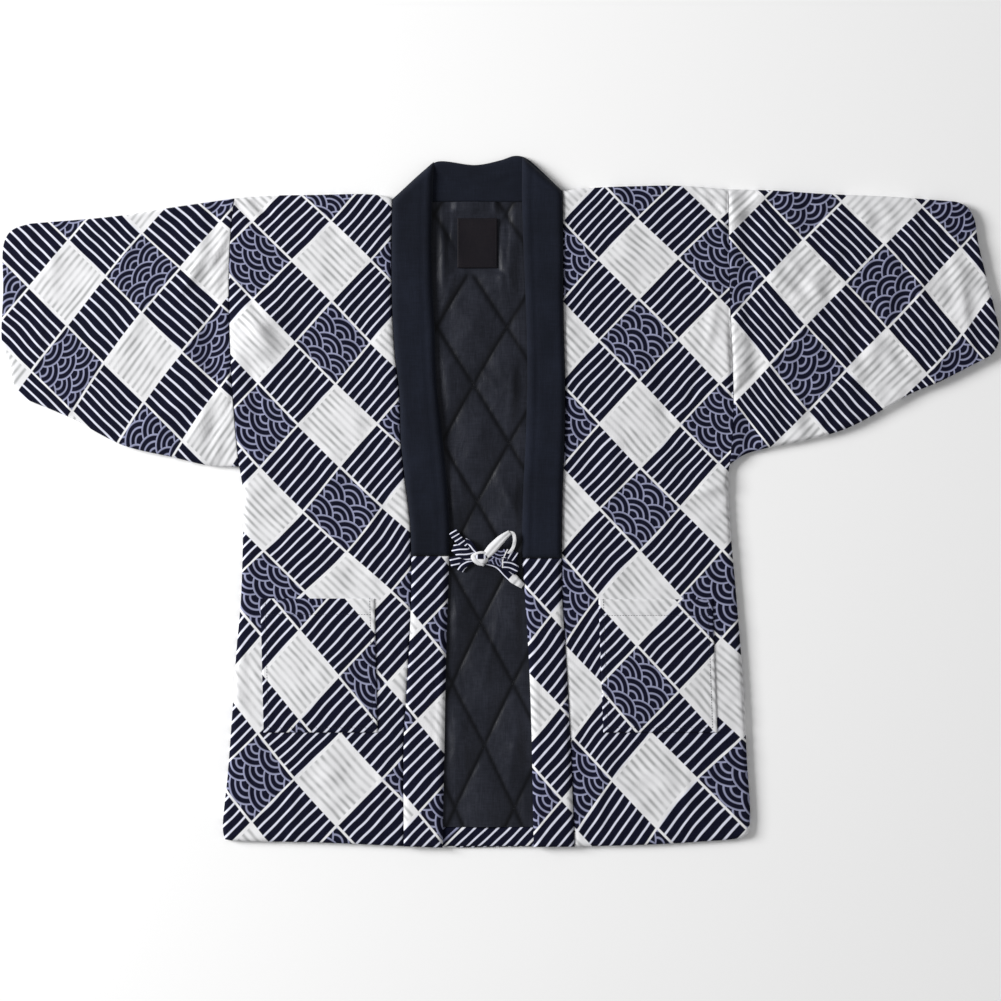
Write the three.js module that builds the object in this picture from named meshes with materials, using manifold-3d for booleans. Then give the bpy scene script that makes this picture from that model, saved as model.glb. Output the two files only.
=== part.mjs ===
// A hanten, the padded cotton jacket, laid flat with its front up, arms out and the fronts a little open.
// Millimetres, +X to the viewer's right, +Y to the neck, +Z up from the surface it lies on.
import * as THREE from "three";
import * as BufferGeometryUtils from "three/addons/utils/BufferGeometryUtils.js";
import Module from "manifold-3d";

// Heights above the surface, and wall thicknesses.
const SEAM_GAP = 0.3;
const BACK_THICK = 4.4;
const LAYER_FLOOR = BACK_THICK + SEAM_GAP;
const FRONT_TOP = 9.8;
const COLLAR_FLOOR = 7.8;
const COLLAR_TOP = 15.6;
const BAND_TOP = 13.2;
const NECK_BAND_TOP = 8.1;
const SLEEVE_HEIGHT = 10.4;
const SLEEVE_INNER_GAP = 1.2;
const POCKET_THICK = 1.8;
const LABEL_THICK = 1.2;

// Edges and the quilting of the lining.
const SIDE_DROP = 3.4;
const SEAM_DROP = 1.5;
const EDGE_ROUND = 7;
const FOLD_SOFT_MARGIN = 20;
const POCKET_KEPT_MARGIN = 3;
const POCKET_EDGE = { drop: 0.8, round: 5 };
const QUILT_STITCH_HEIGHT = 5.3;
const QUILT_RISE = 3.3;
const QUILT_MARGIN_HEIGHT = 7.4;
const QUILT_ROW_AT_NECK = 288;
const QUILT_HALF_PITCH = 70.6;
const QUILT_PITCH_GROWTH = 0.46;
const QUILT_HALF_WIDTH = { neck: 45, hem: 37 };
const QUILT_MIDDLE = { neck: -38, hem: -20 };
const QUILT_SPAN = 600;
const FACING_FOOT_Y = -432.6;
const FACING_DEPTH = 24;
const FACING_TOP = 6.9;
const FACING_EDGE = { drop: 1.2, round: 3 };
const NECK_SEAM_Y = 373.4;
const LINING_INSET = 0.6;
const LINING_HIDDEN = 53;
const LINING_OPEN = 62;
const BAND_EDGE = { drop: 4.6, sideRound: 9, endRound: 6 };
const BAND_WAVE_PACE = 31;
const COLLAR_WAVE = 0.5;
const FRONT_BAND_WAVE = 0.4;
const NECK_EDGE = { drop: 2.4, round: 5, depth: 45 };

const LABEL = { x: -29, y: 322, width: 50, height: 62 };
const LABEL_FLAT_MARGIN = 14;
const LABEL_FLATTENS = 0.7;

// How many points a curve is read at, where a stretch is cut from it.
const HEM_SAMPLES = 400;
const SEAM_SAMPLES = 300;
const SEAM_EVERY = 10;

const PRINT = { color: 0x2b2e48, roughness: 0.9 };
const COLLAR_CLOTH = { color: 0x1c2030, roughness: 0.85 };
const LINING_CLOTH = { color: 0x24262c, roughness: 0.8 };
const LABEL_CLOTH = { color: 0x1d1a1b, roughness: 0.75 };

/** Turns rows of numbers into objects with the given column names. */
function table(columns, rows) {
  return rows.map((row) => Object.fromEntries(columns.map((column, i) => [column, row[i]])));
}

// Outline curves, each from a few points of the garment as it lies.
const outline = (rows) => table(["x", "y"], rows);

const SIDE_SEAM_LEFT = outline([
  [-345, -424], [-347.5, -412], [-341, -337], [-335.5, -262], [-330.5, -187], [-325, -125],
  [-322.5, -50], [-321.5, 5], [-324.5, 28], [-327, 42.5],
]);
const ARMHOLE_LEFT = outline([
  [-327, 42.5], [-332, 95], [-337.5, 175], [-339.5, 265], [-338, 325], [-333, 378],
]);
const SIDE_SEAM_RIGHT = outline([
  [310, -418], [312.5, -400], [308.5, -325], [303.5, -225], [296, -130], [289, -50], [285.5, 0],
  [285.5, 31], [286.5, 45],
]);
const ARMHOLE_RIGHT = outline([
  [286.5, 45], [290, 90], [290.8, 135], [288, 210], [285.5, 290], [284.5, 389.5],
]);
const HEM = outline([
  [-345, -424], [-337, -425.5], [-229, -428], [-121, -432.5], [-53, -434.5], [11, -433.5], [92, -433],
  [191, -430.5], [251, -427], [296, -423], [310, -418],
]);
const SHOULDER_LEFT = outline([
  [-333, 378], [-289, 381.5], [-229, 382.5], [-169, 383.5], [-145, 381], [-135.3, 377.5],
]);
const SHOULDER_RIGHT = outline([[77.8, 387.5], [110, 391], [170, 393.5], [221, 394], [284.5, 389.5]]);

const SLEEVE_TOP_LEFT = outline([[-588, 346.5], [-484, 355.5], [-409, 367], [-333, 378]]);
const SLEEVE_UNDER_LEFT = outline([
  [-590, 125], [-555, 111], [-529, 99], [-499, 82], [-469, 68], [-409, 54], [-360, 43], [-327, 42.5],
]);
const CUFF_LEFT = outline([
  [-590, 125], [-603, 137], [-610, 150], [-612.5, 172], [-621, 189], [-623.5, 203], [-621.5, 262],
  [-620.5, 322], [-611, 337.5], [-588, 346.5],
]);
const SLEEVE_TOP_RIGHT = outline([[284.5, 389.5], [341, 388], [401, 384], [491, 380], [569, 374]]);
const SLEEVE_UNDER_RIGHT = outline([
  [286.5, 45], [304, 57], [335, 66], [371, 73], [430, 89], [479, 114], [514, 134], [550, 149], [600, 175],
]);
const CUFF_RIGHT = outline([
  [600, 175], [612, 181], [620.5, 192], [623.5, 207], [616, 245], [607, 280], [597, 322], [592, 352],
  [583, 367], [569, 374],
]);

// The seam where each front meets its band and the collar, and the band's free edge, from hem to neck.
const FRONT_SEAM_LEFT = outline([
  [-121, -432.5], [-121, -300], [-118, -250], [-113.5, -170], [-111.5, -110], [-111.5, -69], [-113, -25],
  [-120, 31], [-124.5, 75], [-126, 130], [-132, 185], [-135.5, 250], [-136, 320], [-135, 377.5],
]);
const FREE_EDGE_LEFT = outline([
  [-72.5, -434.2], [-70, -305], [-68, -195], [-65, -100], [-63.5, -31], [-68, 35], [-74, 95], [-80, 150],
  [-82, 210], [-85.5, 290], [-85.5, 360], [-83.5, 424.5],
]);
const FREE_EDGE_RIGHT = outline([
  [41.5, -433.2], [38.5, -280], [35.5, -200], [31, -126], [27, -65], [28, -2], [32, 92], [33.5, 150],
  [32.5, 222], [29, 310], [27, 370], [27, 431.5],
]);
const FRONT_SEAM_RIGHT = outline([
  [92.5, -433], [88.5, -330], [85, -254], [80, -170], [76.5, -110], [76.5, -40], [77.5, 16], [80, 80],
  [80.5, 150], [78.5, 225], [78, 320], [77.5, 387.5],
]);
const NECK_FOLD = outline([
  [-135, 377.5], [-90, 418], [-78, 424.5], [-31, 420], [0, 426], [18, 431.5], [31, 429], [77.5, 387.5],
]);
const COLLAR_END = { left: -69, right: -72 };

const POCKETS = table(
  ["name", "left", "right", "leftAtFoot", "rightAtFoot", "mouth", "foot"],
  [
    ["pocket_left", -300, -157.5, -296, -153.5, -122.5, -290],
    ["pocket_right", 122.5, 265, 128.5, 271, -123.5, -290],
  ],
);

// The larger folds of the top layer: ridges where rise is positive, troughs where it is negative.
const FOLDS = table(
  ["x", "y", "length", "width", "turn", "rise"],
  [
    [-362, 292, 90, 18, 100, 1.5],
    [-346, 105, 110, 18, 78, 1.8],
    [-398, 118, 90, 22, 55, 1.1],
    [-505, 250, 150, 30, 96, 0.8],
    [-545, 150, 70, 20, 30, 1.0],
    [378, 278, 90, 20, 62, -1.5],
    [402, 268, 100, 20, 66, 1.3],
    [306, 190, 120, 20, 94, 1.9],
    [330, 96, 90, 18, 120, 1.4],
    [506, 296, 120, 30, 100, 0.9],
    [520, 160, 90, 22, 150, 1.0],
    [262, 250, 150, 24, 92, 1.0],
    [258, 20, 90, 20, 20, 1.1],
    [-296, 20, 90, 20, 160, 1.1],
    [-190, 330, 90, 26, 70, 0.8],
    [150, 336, 90, 26, 110, 0.8],
    [-215, -360, 120, 30, 88, 0.7],
    [205, -352, 120, 30, 94, 0.7],
  ],
);

// Each strand of a tie: the places it passes, its width at each and its thickness.
const TIE_STRANDS = table(
  ["tie", "thick", "widths", "points"],
  [
    ["left", 3.6, [14, 13, 11, 9],
      [[-62.9, -78, 10], [-50, -75, 10.5], [-38, -73, 11.5], [-24, -72, 13]]],
    ["left", 3.2, [11, 13, 11, 8],
      [[-57.5, -41, 11], [-53, -48, 11.5], [-44, -58, 13], [-30, -69, 15]]],
    ["left", 4.4, [13, 19, 17, 10],
      [[-60, -60, 11], [-52, -63, 15], [-42, -68, 16], [-26, -72, 15]]],
    ["left", 3.2, [9, 10, 9, 8],
      [[-49, -88, 10.3], [-46, -81, 12], [-40, -75, 13.5], [-28, -72, 14]]],
    ["right", 3.6, [15, 16, 12, 10, 9],
      [[24.4, -103, 10], [14, -96, 10.6], [3, -86, 11], [-5, -79, 12.5], [-20, -74, 14]]],
    ["right", 5.0, [9, 13, 15, 9],
      [[-20, -70, 15], [-8, -57, 16], [6, -43, 17], [13, -39, 17]]],
    ["right", 4.2, [8, 8, 8, 10, 9],
      [[12, -39, 17], [16.5, -47, 16.5], [13.5, -58, 15.5], [5, -66, 14.5], [-14, -71, 14]]],
    ["right", 4.2, [10, 17, 22, 14],
      [[-16, -73, 14], [0, -72, 14.2], [12, -78, 13.4], [20, -86, 12.4]]],
  ],
);
const TIE_LIFT = 0.9;
const KNOT = { x: -25, y: -72.5, z: 14.2, halfLength: 10.5, halfWidth: 8.6, halfHeight: 5.8 };

const wasm = await Module();
wasm.setup();

const hanten = new THREE.Group();
hanten.name = "hanten";

/** Adds one named piece to the garment. */
function addPiece(name, geometry, cloth) {
  const material = new THREE.MeshStandardMaterial({ ...cloth, metalness: 0 });
  const piece = new THREE.Mesh(geometry, material);
  piece.name = name;
  hanten.add(piece);
}

/** A geometry from vertex and triangle lists. */
function meshOf(points, faces) {
  const geometry = new THREE.BufferGeometry();
  geometry.setAttribute("position", new THREE.Float32BufferAttribute(points.flat(), 3));
  geometry.setIndex(faces.flat());
  return geometry;
}

/** A smooth curve through the rows, moved sideways by shift. */
function curveThrough(rows, shift = 0) {
  const points = rows.map(({ x, y }) => new THREE.Vector3(x + shift, y, 0));
  return new THREE.CatmullRomCurve3(points, false, "centripetal");
}

/** Curves joined end to end, read by their common length. */
function pathOf(...curves) {
  const path = new THREE.CurvePath();
  curves.forEach((curve) => path.add(curve));
  return path;
}

/** The stretch of the hem between two places across. */
function hemBetween(fromX, toX) {
  const samples = curveThrough(HEM).getPoints(HEM_SAMPLES);
  const at = (x) => {
    const next = Math.max(1, samples.findIndex((point) => point.x >= x));
    const [a, b] = [samples[next - 1], samples[next]];
    return a.clone().lerp(b, (x - a.x) / (b.x - a.x));
  };
  const between = HEM.filter(({ x }) => x > fromX + 4 && x < toX - 4);
  const inner = between.map(({ x, y }) => new THREE.Vector3(x, y, 0));
  return new THREE.CatmullRomCurve3([at(fromX), ...inner, at(toX)], false, "centripetal");
}

/** The four-sided patch inside four edge curves: u runs west to east, v south to north. */
function patchInside({ west, east, south, north }) {
  const blend = (axis, u, v) => {
    const [s0, s1] = [south.getPointAt(0)[axis], south.getPointAt(1)[axis]];
    const [n0, n1] = [north.getPointAt(0)[axis], north.getPointAt(1)[axis]];
    const along = (1 - v) * south.getPointAt(u)[axis] + v * north.getPointAt(u)[axis];
    const up = (1 - u) * west.getPointAt(v)[axis] + u * east.getPointAt(v)[axis];
    return along + up - (1 - v) * ((1 - u) * s0 + u * s1) - v * ((1 - u) * n0 + u * n1);
  };
  return (u, v) => ({ x: blend("x", u, v), y: blend("y", u, v) });
}

/** Steps from 0 to 1, close at both ends and even between, for a stretch of the given length. */
function stepsFor(length, spacing, edges = [0, 2.2, EDGE_ROUND]) {
  const margin = edges.map((edge) => edge / length);
  const inner = margin[margin.length - 1];
  const count = Math.max(2, Math.round((length * (1 - 2 * inner)) / spacing));
  const middle = Array.from({ length: count - 1 }, (_, i) => inner + ((1 - 2 * inner) * (i + 1)) / count);
  return [...margin, ...middle, ...margin.map((edge) => 1 - edge).reverse()];
}

/** 0 at an edge, rising to 1 over a round of the given width. */
function roundedEdge(distance, width = EDGE_ROUND) {
  const reach = THREE.MathUtils.clamp(distance / width, 0, 1);
  return Math.sqrt(1 - (1 - reach) ** 2);
}

/** 1 inside a box and 0 outside it, with a soft margin. */
function softBox(x, y, box, margin) {
  const across = Math.abs(x - box.x) - box.width / 2;
  const along = Math.abs(y - box.y) - box.height / 2;
  return 1 - THREE.MathUtils.smoothstep(Math.max(across, along), 0, margin);
}

/** Rise of the top layer at a place, from the folds, kept flat under the pockets. */
function foldRise(x, y) {
  let rise = 0;
  for (const fold of FOLDS) {
    const turn = THREE.MathUtils.degToRad(fold.turn);
    const along = (x - fold.x) * Math.cos(turn) + (y - fold.y) * Math.sin(turn);
    const across = (y - fold.y) * Math.cos(turn) - (x - fold.x) * Math.sin(turn);
    const fade = Math.exp(-((along / (fold.length / 2)) ** 2));
    rise += fold.rise * fade * Math.exp(-((across / (fold.width / 2)) ** 2));
  }
  const kept = POCKETS.map((pocket) => 1 - softBox(x, y, {
    x: (pocket.left + pocket.rightAtFoot) / 2,
    y: (pocket.mouth + pocket.foot) / 2,
    width: pocket.rightAtFoot - pocket.left + 2 * POCKET_KEPT_MARGIN,
    height: pocket.mouth - pocket.foot + 2 * POCKET_KEPT_MARGIN,
  }, FOLD_SOFT_MARGIN));
  return rise * Math.min(...kept);
}

/**
 * A closed slab over a patch. The top is a grid; the floor is a grid too where it is a function,
 * and a plain flat face where it is one height.
 */
function slab({ patch, uSteps, vSteps, top, floor }) {
  const flat = typeof floor === "number";
  const floorAt = flat ? () => floor : floor;
  const points = [];
  const grid = (height) => vSteps.map((v) => uSteps.map((u) => {
    const { x, y } = patch(u, v);
    points.push([x, y, height(x, y, u, v)]);
    return points.length - 1;
  }));
  const upper = grid(top);
  const faces = gridFaces(upper);
  const ring = ringOf(upper);
  let lowerRing;
  if (flat) {
    lowerRing = ring.map((corner) => points.push([points[corner][0], points[corner][1], floorAt()]) - 1);
    faces.push(...flatFloorFaces(lowerRing, uSteps.length - 1, vSteps.length - 1));
  } else {
    const lower = grid(floorAt);
    faces.push(...gridFaces(lower).map(([a, b, c]) => [a, c, b]));
    lowerRing = ringOf(lower);
  }
  ring.forEach((corner, i) => {
    const next = (i + 1) % ring.length;
    faces.push([lowerRing[i], lowerRing[next], ring[next]], [lowerRing[i], ring[next], corner]);
  });
  return meshOf(points, faces);
}

/** Two triangles for each cell of a grid, facing up. */
function gridFaces(grid) {
  const faces = [];
  for (let row = 0; row + 1 < grid.length; row += 1) {
    for (let column = 0; column + 1 < grid[row].length; column += 1) {
      const [a, b] = [grid[row][column], grid[row][column + 1]];
      const [d, c] = [grid[row + 1][column], grid[row + 1][column + 1]];
      faces.push([a, b, c], [a, c, d]);
    }
  }
  return faces;
}

/** The border of a grid, anticlockwise from its south-west corner. */
function ringOf(grid) {
  const last = grid.length - 1;
  const width = grid[0].length - 1;
  return [
    ...grid[0].slice(0, width),
    ...grid.slice(0, last).map((row) => row[width]),
    ...grid[last].slice(1).reverse(),
    ...grid.slice(1).map((row) => row[0]).reverse(),
  ];
}

/** Triangles of a flat floor inside a ring, row by row, facing down. */
function flatFloorFaces(ring, columns, rows) {
  const count = ring.length;
  const east = (row) => ring[columns + row];
  const west = (row) => ring[(count - row) % count];
  const faces = [];
  for (let i = 0; i < columns; i += 1) faces.push([west(1), ring[i + 1], ring[i]]);
  faces.push([west(1), east(1), east(0)]);
  for (let row = 1; row < rows - 1; row += 1) {
    faces.push([west(row), east(row + 1), east(row)], [west(row), west(row + 1), east(row + 1)]);
  }
  faces.push([west(rows - 1), east(rows), east(rows - 1)]);
  for (let i = columns + rows; i < 2 * columns + rows; i += 1) {
    faces.push([west(rows - 1), ring[i + 1], ring[i]]);
  }
  return faces;
}

/** A sealed solid from a geometry, for joining and cutting. */
function toSolid(geometry) {
  const bare = geometry.clone();
  bare.deleteAttribute("normal");
  bare.deleteAttribute("uv");
  const merged = BufferGeometryUtils.mergeVertices(bare, 1e-4);
  return new wasm.Manifold(new wasm.Mesh({
    numProp: 3,
    vertProperties: new Float32Array(merged.attributes.position.array),
    triVerts: new Uint32Array(merged.index.array),
  }));
}

/** A geometry from a sealed solid. */
function toGeometry(solid) {
  const mesh = solid.getMesh();
  const geometry = new THREE.BufferGeometry();
  geometry.setAttribute("position", new THREE.BufferAttribute(new Float32Array(mesh.vertProperties), 3));
  geometry.setIndex(new THREE.BufferAttribute(new Uint32Array(mesh.triVerts), 1));
  return geometry;
}

const sideLeft = pathOf(curveThrough(SIDE_SEAM_LEFT), curveThrough(ARMHOLE_LEFT));
const sideRight = pathOf(curveThrough(SIDE_SEAM_RIGHT), curveThrough(ARMHOLE_RIGHT));

/** Points up a side, with the underarm corner among them. */
function sidePoints(path) {
  const [seam, armhole] = path.curves;
  return [...seam.getSpacedPoints(20).slice(0, -1), ...armhole.getSpacedPoints(15)];
}

/** The steps with the nearest one moved to the underarm corner. */
function withUnderarm(steps, path) {
  const corner = path.curves[0].getLength() / path.getLength();
  const away = steps.map((step) => Math.abs(step - corner));
  return steps.with(away.indexOf(Math.min(...away)), corner);
}

/** The outer back: one padded layer with the body's outline and the neck seam cut out. */
function makeBack() {
  const neckLeft = SHOULDER_LEFT.at(-1).x;
  const neckRight = SHOULDER_RIGHT[0].x;
  const neck = [
    [neckLeft, NECK_SEAM_Y], [neckRight, NECK_SEAM_Y],
  ].map(([x, y]) => new THREE.Vector3(x, y, 0));
  const rim = [
    ...curveThrough(HEM).getSpacedPoints(26).slice(0, -1),
    ...sidePoints(sideRight).slice(0, -1),
    ...curveThrough(SHOULDER_RIGHT).getSpacedPoints(8).reverse(),
    neck[1],
    neck[0],
    ...curveThrough(SHOULDER_LEFT).getSpacedPoints(8).reverse().slice(0, -1),
    ...sidePoints(sideLeft).reverse().slice(0, -1),
  ];
  const shape = new THREE.Shape(rim.map(({ x, y }) => new THREE.Vector2(x, y)));
  return new THREE.ExtrudeGeometry(shape, { depth: BACK_THICK, bevelEnabled: false });
}

/** Width and height of a patch through its middle. */
function sizeOf(patch) {
  const [w, e, s, n] = [patch(0, 0.5), patch(1, 0.5), patch(0.5, 0), patch(0.5, 1)];
  return { width: Math.hypot(e.x - w.x, e.y - w.y), height: Math.hypot(n.x - s.x, n.y - s.y) };
}

/** Height of a front's top: rounded at the side, hem and shoulder, with a shallow dip along the seams. */
function frontTop(size, side) {
  return (x, y, u, v) => {
    const outer = side === "left" ? u : 1 - u;
    const sideDrop = y < ARMHOLE_LEFT[0].y ? SIDE_DROP : SEAM_DROP;
    const drop = (distance, depth) => depth * (1 - roundedEdge(distance));
    const edges = drop(outer * size.width, sideDrop) + drop((1 - outer) * size.width, SEAM_DROP);
    const ends = drop(v * size.height, SIDE_DROP) + drop((1 - v) * size.height, SIDE_DROP);
    return FRONT_TOP - Math.min(edges + ends, SIDE_DROP) + foldRise(x, y);
  };
}

/** One front, from the side seam to the seam of the collar and its band. */
function makeFront(side) {
  const left = side === "left";
  const rows = left ? FRONT_SEAM_LEFT : FRONT_SEAM_RIGHT;
  const shift = left ? -SEAM_GAP : SEAM_GAP;
  const seam = curveThrough(rows, shift);
  const hemEnd = rows[0].x + shift;
  const patch = patchInside({
    west: left ? sideLeft : seam,
    east: left ? seam : sideRight,
    south: left ? hemBetween(HEM[0].x, hemEnd) : hemBetween(hemEnd, HEM.at(-1).x),
    north: curveThrough(left ? SHOULDER_LEFT : SHOULDER_RIGHT),
  });
  const size = sizeOf(patch);
  return slab({
    patch,
    uSteps: stepsFor(size.width, 24),
    vSteps: withUnderarm(stepsFor(size.height, 25), left ? sideLeft : sideRight),
    top: frontTop(size, side),
    floor: LAYER_FLOOR,
  });
}

/** Vertical place in the quilt, counted in half diamonds from the crossing nearest the neck. */
function quiltRow(y) {
  const below = QUILT_ROW_AT_NECK - y;
  const root = Math.sqrt(Math.max(0, QUILT_HALF_PITCH ** 2 + 4 * QUILT_PITCH_GROWTH * below));
  return (root - QUILT_HALF_PITCH) / (2 * QUILT_PITCH_GROWTH);
}

/** 0 on a stitched line of the diamonds, rising to 1 in the middle of each. */
function quiltPillow(x, y) {
  const down = THREE.MathUtils.clamp((QUILT_ROW_AT_NECK - y) / QUILT_SPAN, 0, 1);
  const middle = THREE.MathUtils.lerp(QUILT_MIDDLE.neck, QUILT_MIDDLE.hem, down);
  const halfWidth = THREE.MathUtils.lerp(QUILT_HALF_WIDTH.neck, QUILT_HALF_WIDTH.hem, down);
  const across = (x - middle) / halfWidth;
  const row = quiltRow(y);
  const toLine = (place) => Math.abs(place / 2 - Math.round(place / 2)) * 2;
  return Math.sqrt(toLine(across + row) * toLine(across - row));
}

/** Height of the lining: pillows in the open, flat under the collar and where the label lies. */
function liningTop(width) {
  return (x, y, u) => {
    const open = THREE.MathUtils.smoothstep(Math.min(u, 1 - u) * width, LINING_HIDDEN, LINING_OPEN);
    const flat = softBox(x, y, LABEL, LABEL_FLAT_MARGIN);
    const pillow = QUILT_STITCH_HEIGHT + QUILT_RISE * (1 - LABEL_FLATTENS * flat) * quiltPillow(x, y);
    return THREE.MathUtils.lerp(QUILT_MARGIN_HEIGHT, pillow, open);
  };
}

/** The stretch of a seam or edge between two heights, moved sideways by shift. */
function seamBetween(rows, fromY, toY, shift = 0) {
  const samples = curveThrough(rows, shift).getPoints(SEAM_SAMPLES);
  const at = (y) => {
    const next = Math.max(1, samples.findIndex((point) => point.y >= y));
    const [a, b] = [samples[next - 1], samples[next]];
    return a.clone().lerp(b, (y - a.y) / (b.y - a.y));
  };
  const kept = samples.filter((point, i) => i % SEAM_EVERY === SEAM_EVERY / 2);
  const inner = kept.filter((point) => point.y > fromY + 5 && point.y < toY - 5);
  return new THREE.CatmullRomCurve3([at(fromY), ...inner, at(toY)], false, "centripetal");
}

/** A straight edge between two points. */
function straight(from, to) {
  return new THREE.LineCurve3(from.clone(), to.clone());
}

/** The patch between two edge curves, with straight ends. */
function patchBetween(west, east) {
  return patchInside({
    west,
    east,
    south: straight(west.getPoint(0), east.getPoint(0)),
    north: straight(west.getPoint(1), east.getPoint(1)),
  });
}

/** The patch between the two front seams, from one height to another, moved in by a hair. */
function betweenSeams(fromY, toY) {
  return patchBetween(
    seamBetween(FRONT_SEAM_LEFT, fromY, toY, LINING_INSET),
    seamBetween(FRONT_SEAM_RIGHT, fromY, toY, -LINING_INSET),
  );
}

/** The quilted lining between the fronts. */
function makeLining() {
  const patch = betweenSeams(FACING_FOOT_Y + FACING_DEPTH + SEAM_GAP, NECK_SEAM_Y);
  const size = sizeOf(patch);
  return slab({
    patch,
    uSteps: stepsFor(size.width, 10, [0, LINING_HIDDEN, LINING_OPEN]),
    vSteps: stepsFor(size.height, 10, [0, 5]),
    top: liningTop(size.width),
    floor: LAYER_FLOOR,
  });
}

/** The print strip turned up inside the back hem. */
function makeFacing() {
  const patch = betweenSeams(FACING_FOOT_Y, FACING_FOOT_Y + FACING_DEPTH);
  const edge = (v) => roundedEdge(Math.min(v, 1 - v) * FACING_DEPTH, FACING_EDGE.round);
  return slab({
    patch,
    uSteps: stepsFor(sizeOf(patch).width, 30, [0, 8]),
    vSteps: [0, 0.12, 0.5, 0.88, 1],
    top: (x, y, u, v) => FACING_TOP - FACING_EDGE.drop * (1 - edge(v)),
    floor: LAYER_FLOOR,
  });
}

/** Top height of a padded band: a crown across with rounded edges, and slow waves along it. */
function bandTop(size, height, wave) {
  return (x, y, u, v) => {
    const side = roundedEdge(Math.min(u, 1 - u) * size.width, BAND_EDGE.sideRound);
    const end = roundedEdge(Math.min(v, 1 - v) * size.height, BAND_EDGE.endRound);
    const edge = BAND_EDGE.drop * (1 - Math.min(side, end));
    return height - edge + wave * Math.sin(y / BAND_WAVE_PACE) * Math.sin(Math.PI * u);
  };
}

/** One side's seam and free edge, as rows of points from the hem up. */
function bandRows(side) {
  if (side === "left") return { seam: FRONT_SEAM_LEFT, edge: FREE_EDGE_LEFT };
  return { seam: FRONT_SEAM_RIGHT, edge: FREE_EDGE_RIGHT };
}

/** The patch of one side's band and collar between two heights of its seam and two of its free edge. */
function bandPatch(side, seamRange, edgeRange) {
  const rows = bandRows(side);
  const seam = seamBetween(rows.seam, ...seamRange);
  const edge = seamBetween(rows.edge, ...edgeRange);
  return side === "left" ? patchBetween(seam, edge) : patchBetween(edge, seam);
}

/** One leg of the collar, from its end on the front to the fold at the shoulder. */
function makeCollarLeg(side) {
  const { seam, edge } = bandRows(side);
  const end = COLLAR_END[side];
  const patch = bandPatch(side, [end, seam.at(-1).y], [end, edge.at(-1).y]);
  const size = sizeOf(patch);
  return slab({
    patch,
    uSteps: stepsFor(size.width, 13, [0, 1.5, 6]),
    vSteps: stepsFor(size.height, 24, [0, 2, 7]),
    top: bandTop(size, COLLAR_TOP, COLLAR_WAVE),
    floor: COLLAR_FLOOR,
  });
}

/** The stretch of collar behind the neck, lying flat past the neck seam. */
function makeNeckBand() {
  const [first, last] = [NECK_FOLD[0], NECK_FOLD.at(-1)];
  const foot = NECK_SEAM_Y + SEAM_GAP;
  const [sw, se] = [new THREE.Vector3(first.x, foot, 0), new THREE.Vector3(last.x, foot, 0)];
  const [nw, ne] = [new THREE.Vector3(first.x, first.y, 0), new THREE.Vector3(last.x, last.y, 0)];
  const patch = patchInside({
    west: straight(sw, nw),
    east: straight(se, ne),
    south: straight(sw, se),
    north: curveThrough(NECK_FOLD),
  });
  const edge = (v) => roundedEdge((1 - v) * NECK_EDGE.depth, NECK_EDGE.round);
  return slab({
    patch,
    uSteps: stepsFor(last.x - first.x, 13, [0, 4]),
    vSteps: [0, 0.25, 0.6, 0.9, 0.97, 1],
    top: (x, y, u, v) => NECK_BAND_TOP - NECK_EDGE.drop * (1 - edge(v)),
    floor: 0,
  });
}

/** The whole collar in one body: two legs joined to the stretch behind the neck. */
function makeCollar() {
  const legs = ["left", "right"].map((side) => toSolid(makeCollarLeg(side)));
  return toGeometry(toSolid(makeNeckBand()).add(legs[0]).add(legs[1]));
}

/** The print band below one end of the collar. */
function makeFrontBand(side) {
  const { seam, edge } = bandRows(side);
  const end = COLLAR_END[side] - SEAM_GAP;
  const patch = bandPatch(side, [seam[0].y, end], [edge[0].y, end]);
  const size = sizeOf(patch);
  return slab({
    patch,
    uSteps: stepsFor(size.width, 14, [0, 1.5, 6]),
    vSteps: stepsFor(size.height, 26, [0, 2, 6]),
    top: bandTop(size, BAND_TOP, FRONT_BAND_WAVE),
    floor: COLLAR_FLOOR,
  });
}

/** A patch pocket, made from the front's own points and moved out. */
function makePocket(pocket) {
  const corner = (x, y) => new THREE.Vector3(x, y, 0);
  const [sw, se] = [corner(pocket.leftAtFoot, pocket.foot), corner(pocket.rightAtFoot, pocket.foot)];
  const [nw, ne] = [corner(pocket.left, pocket.mouth), corner(pocket.right, pocket.mouth)];
  const patch = patchInside({
    west: straight(sw, nw), east: straight(se, ne), south: straight(sw, se), north: straight(nw, ne),
  });
  const size = sizeOf(patch);
  const toEdge = (u, v) => Math.min(Math.min(u, 1 - u) * size.width, Math.min(v, 1 - v) * size.height);
  const floor = FRONT_TOP + SEAM_GAP;
  const dropAt = (distance) => POCKET_EDGE.drop * (1 - roundedEdge(distance, POCKET_EDGE.round));
  return slab({
    patch,
    uSteps: stepsFor(size.width, 30, [0, 2, 6]),
    vSteps: stepsFor(size.height, 30, [0, 2, 6]),
    top: (x, y, u, v) => floor + POCKET_THICK - dropAt(toEdge(u, v)),
    floor,
  });
}

/** The label, flat on the flat place kept for it on the lining. */
function makeLabel() {
  const { x, y, width, height } = LABEL;
  const floor = QUILT_STITCH_HEIGHT + QUILT_RISE * (1 - LABEL_FLATTENS) + SEAM_GAP;
  const geometry = new THREE.BoxGeometry(width, height, LABEL_THICK);
  geometry.translate(x, y, floor + LABEL_THICK / 2);
  return geometry;
}

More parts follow.
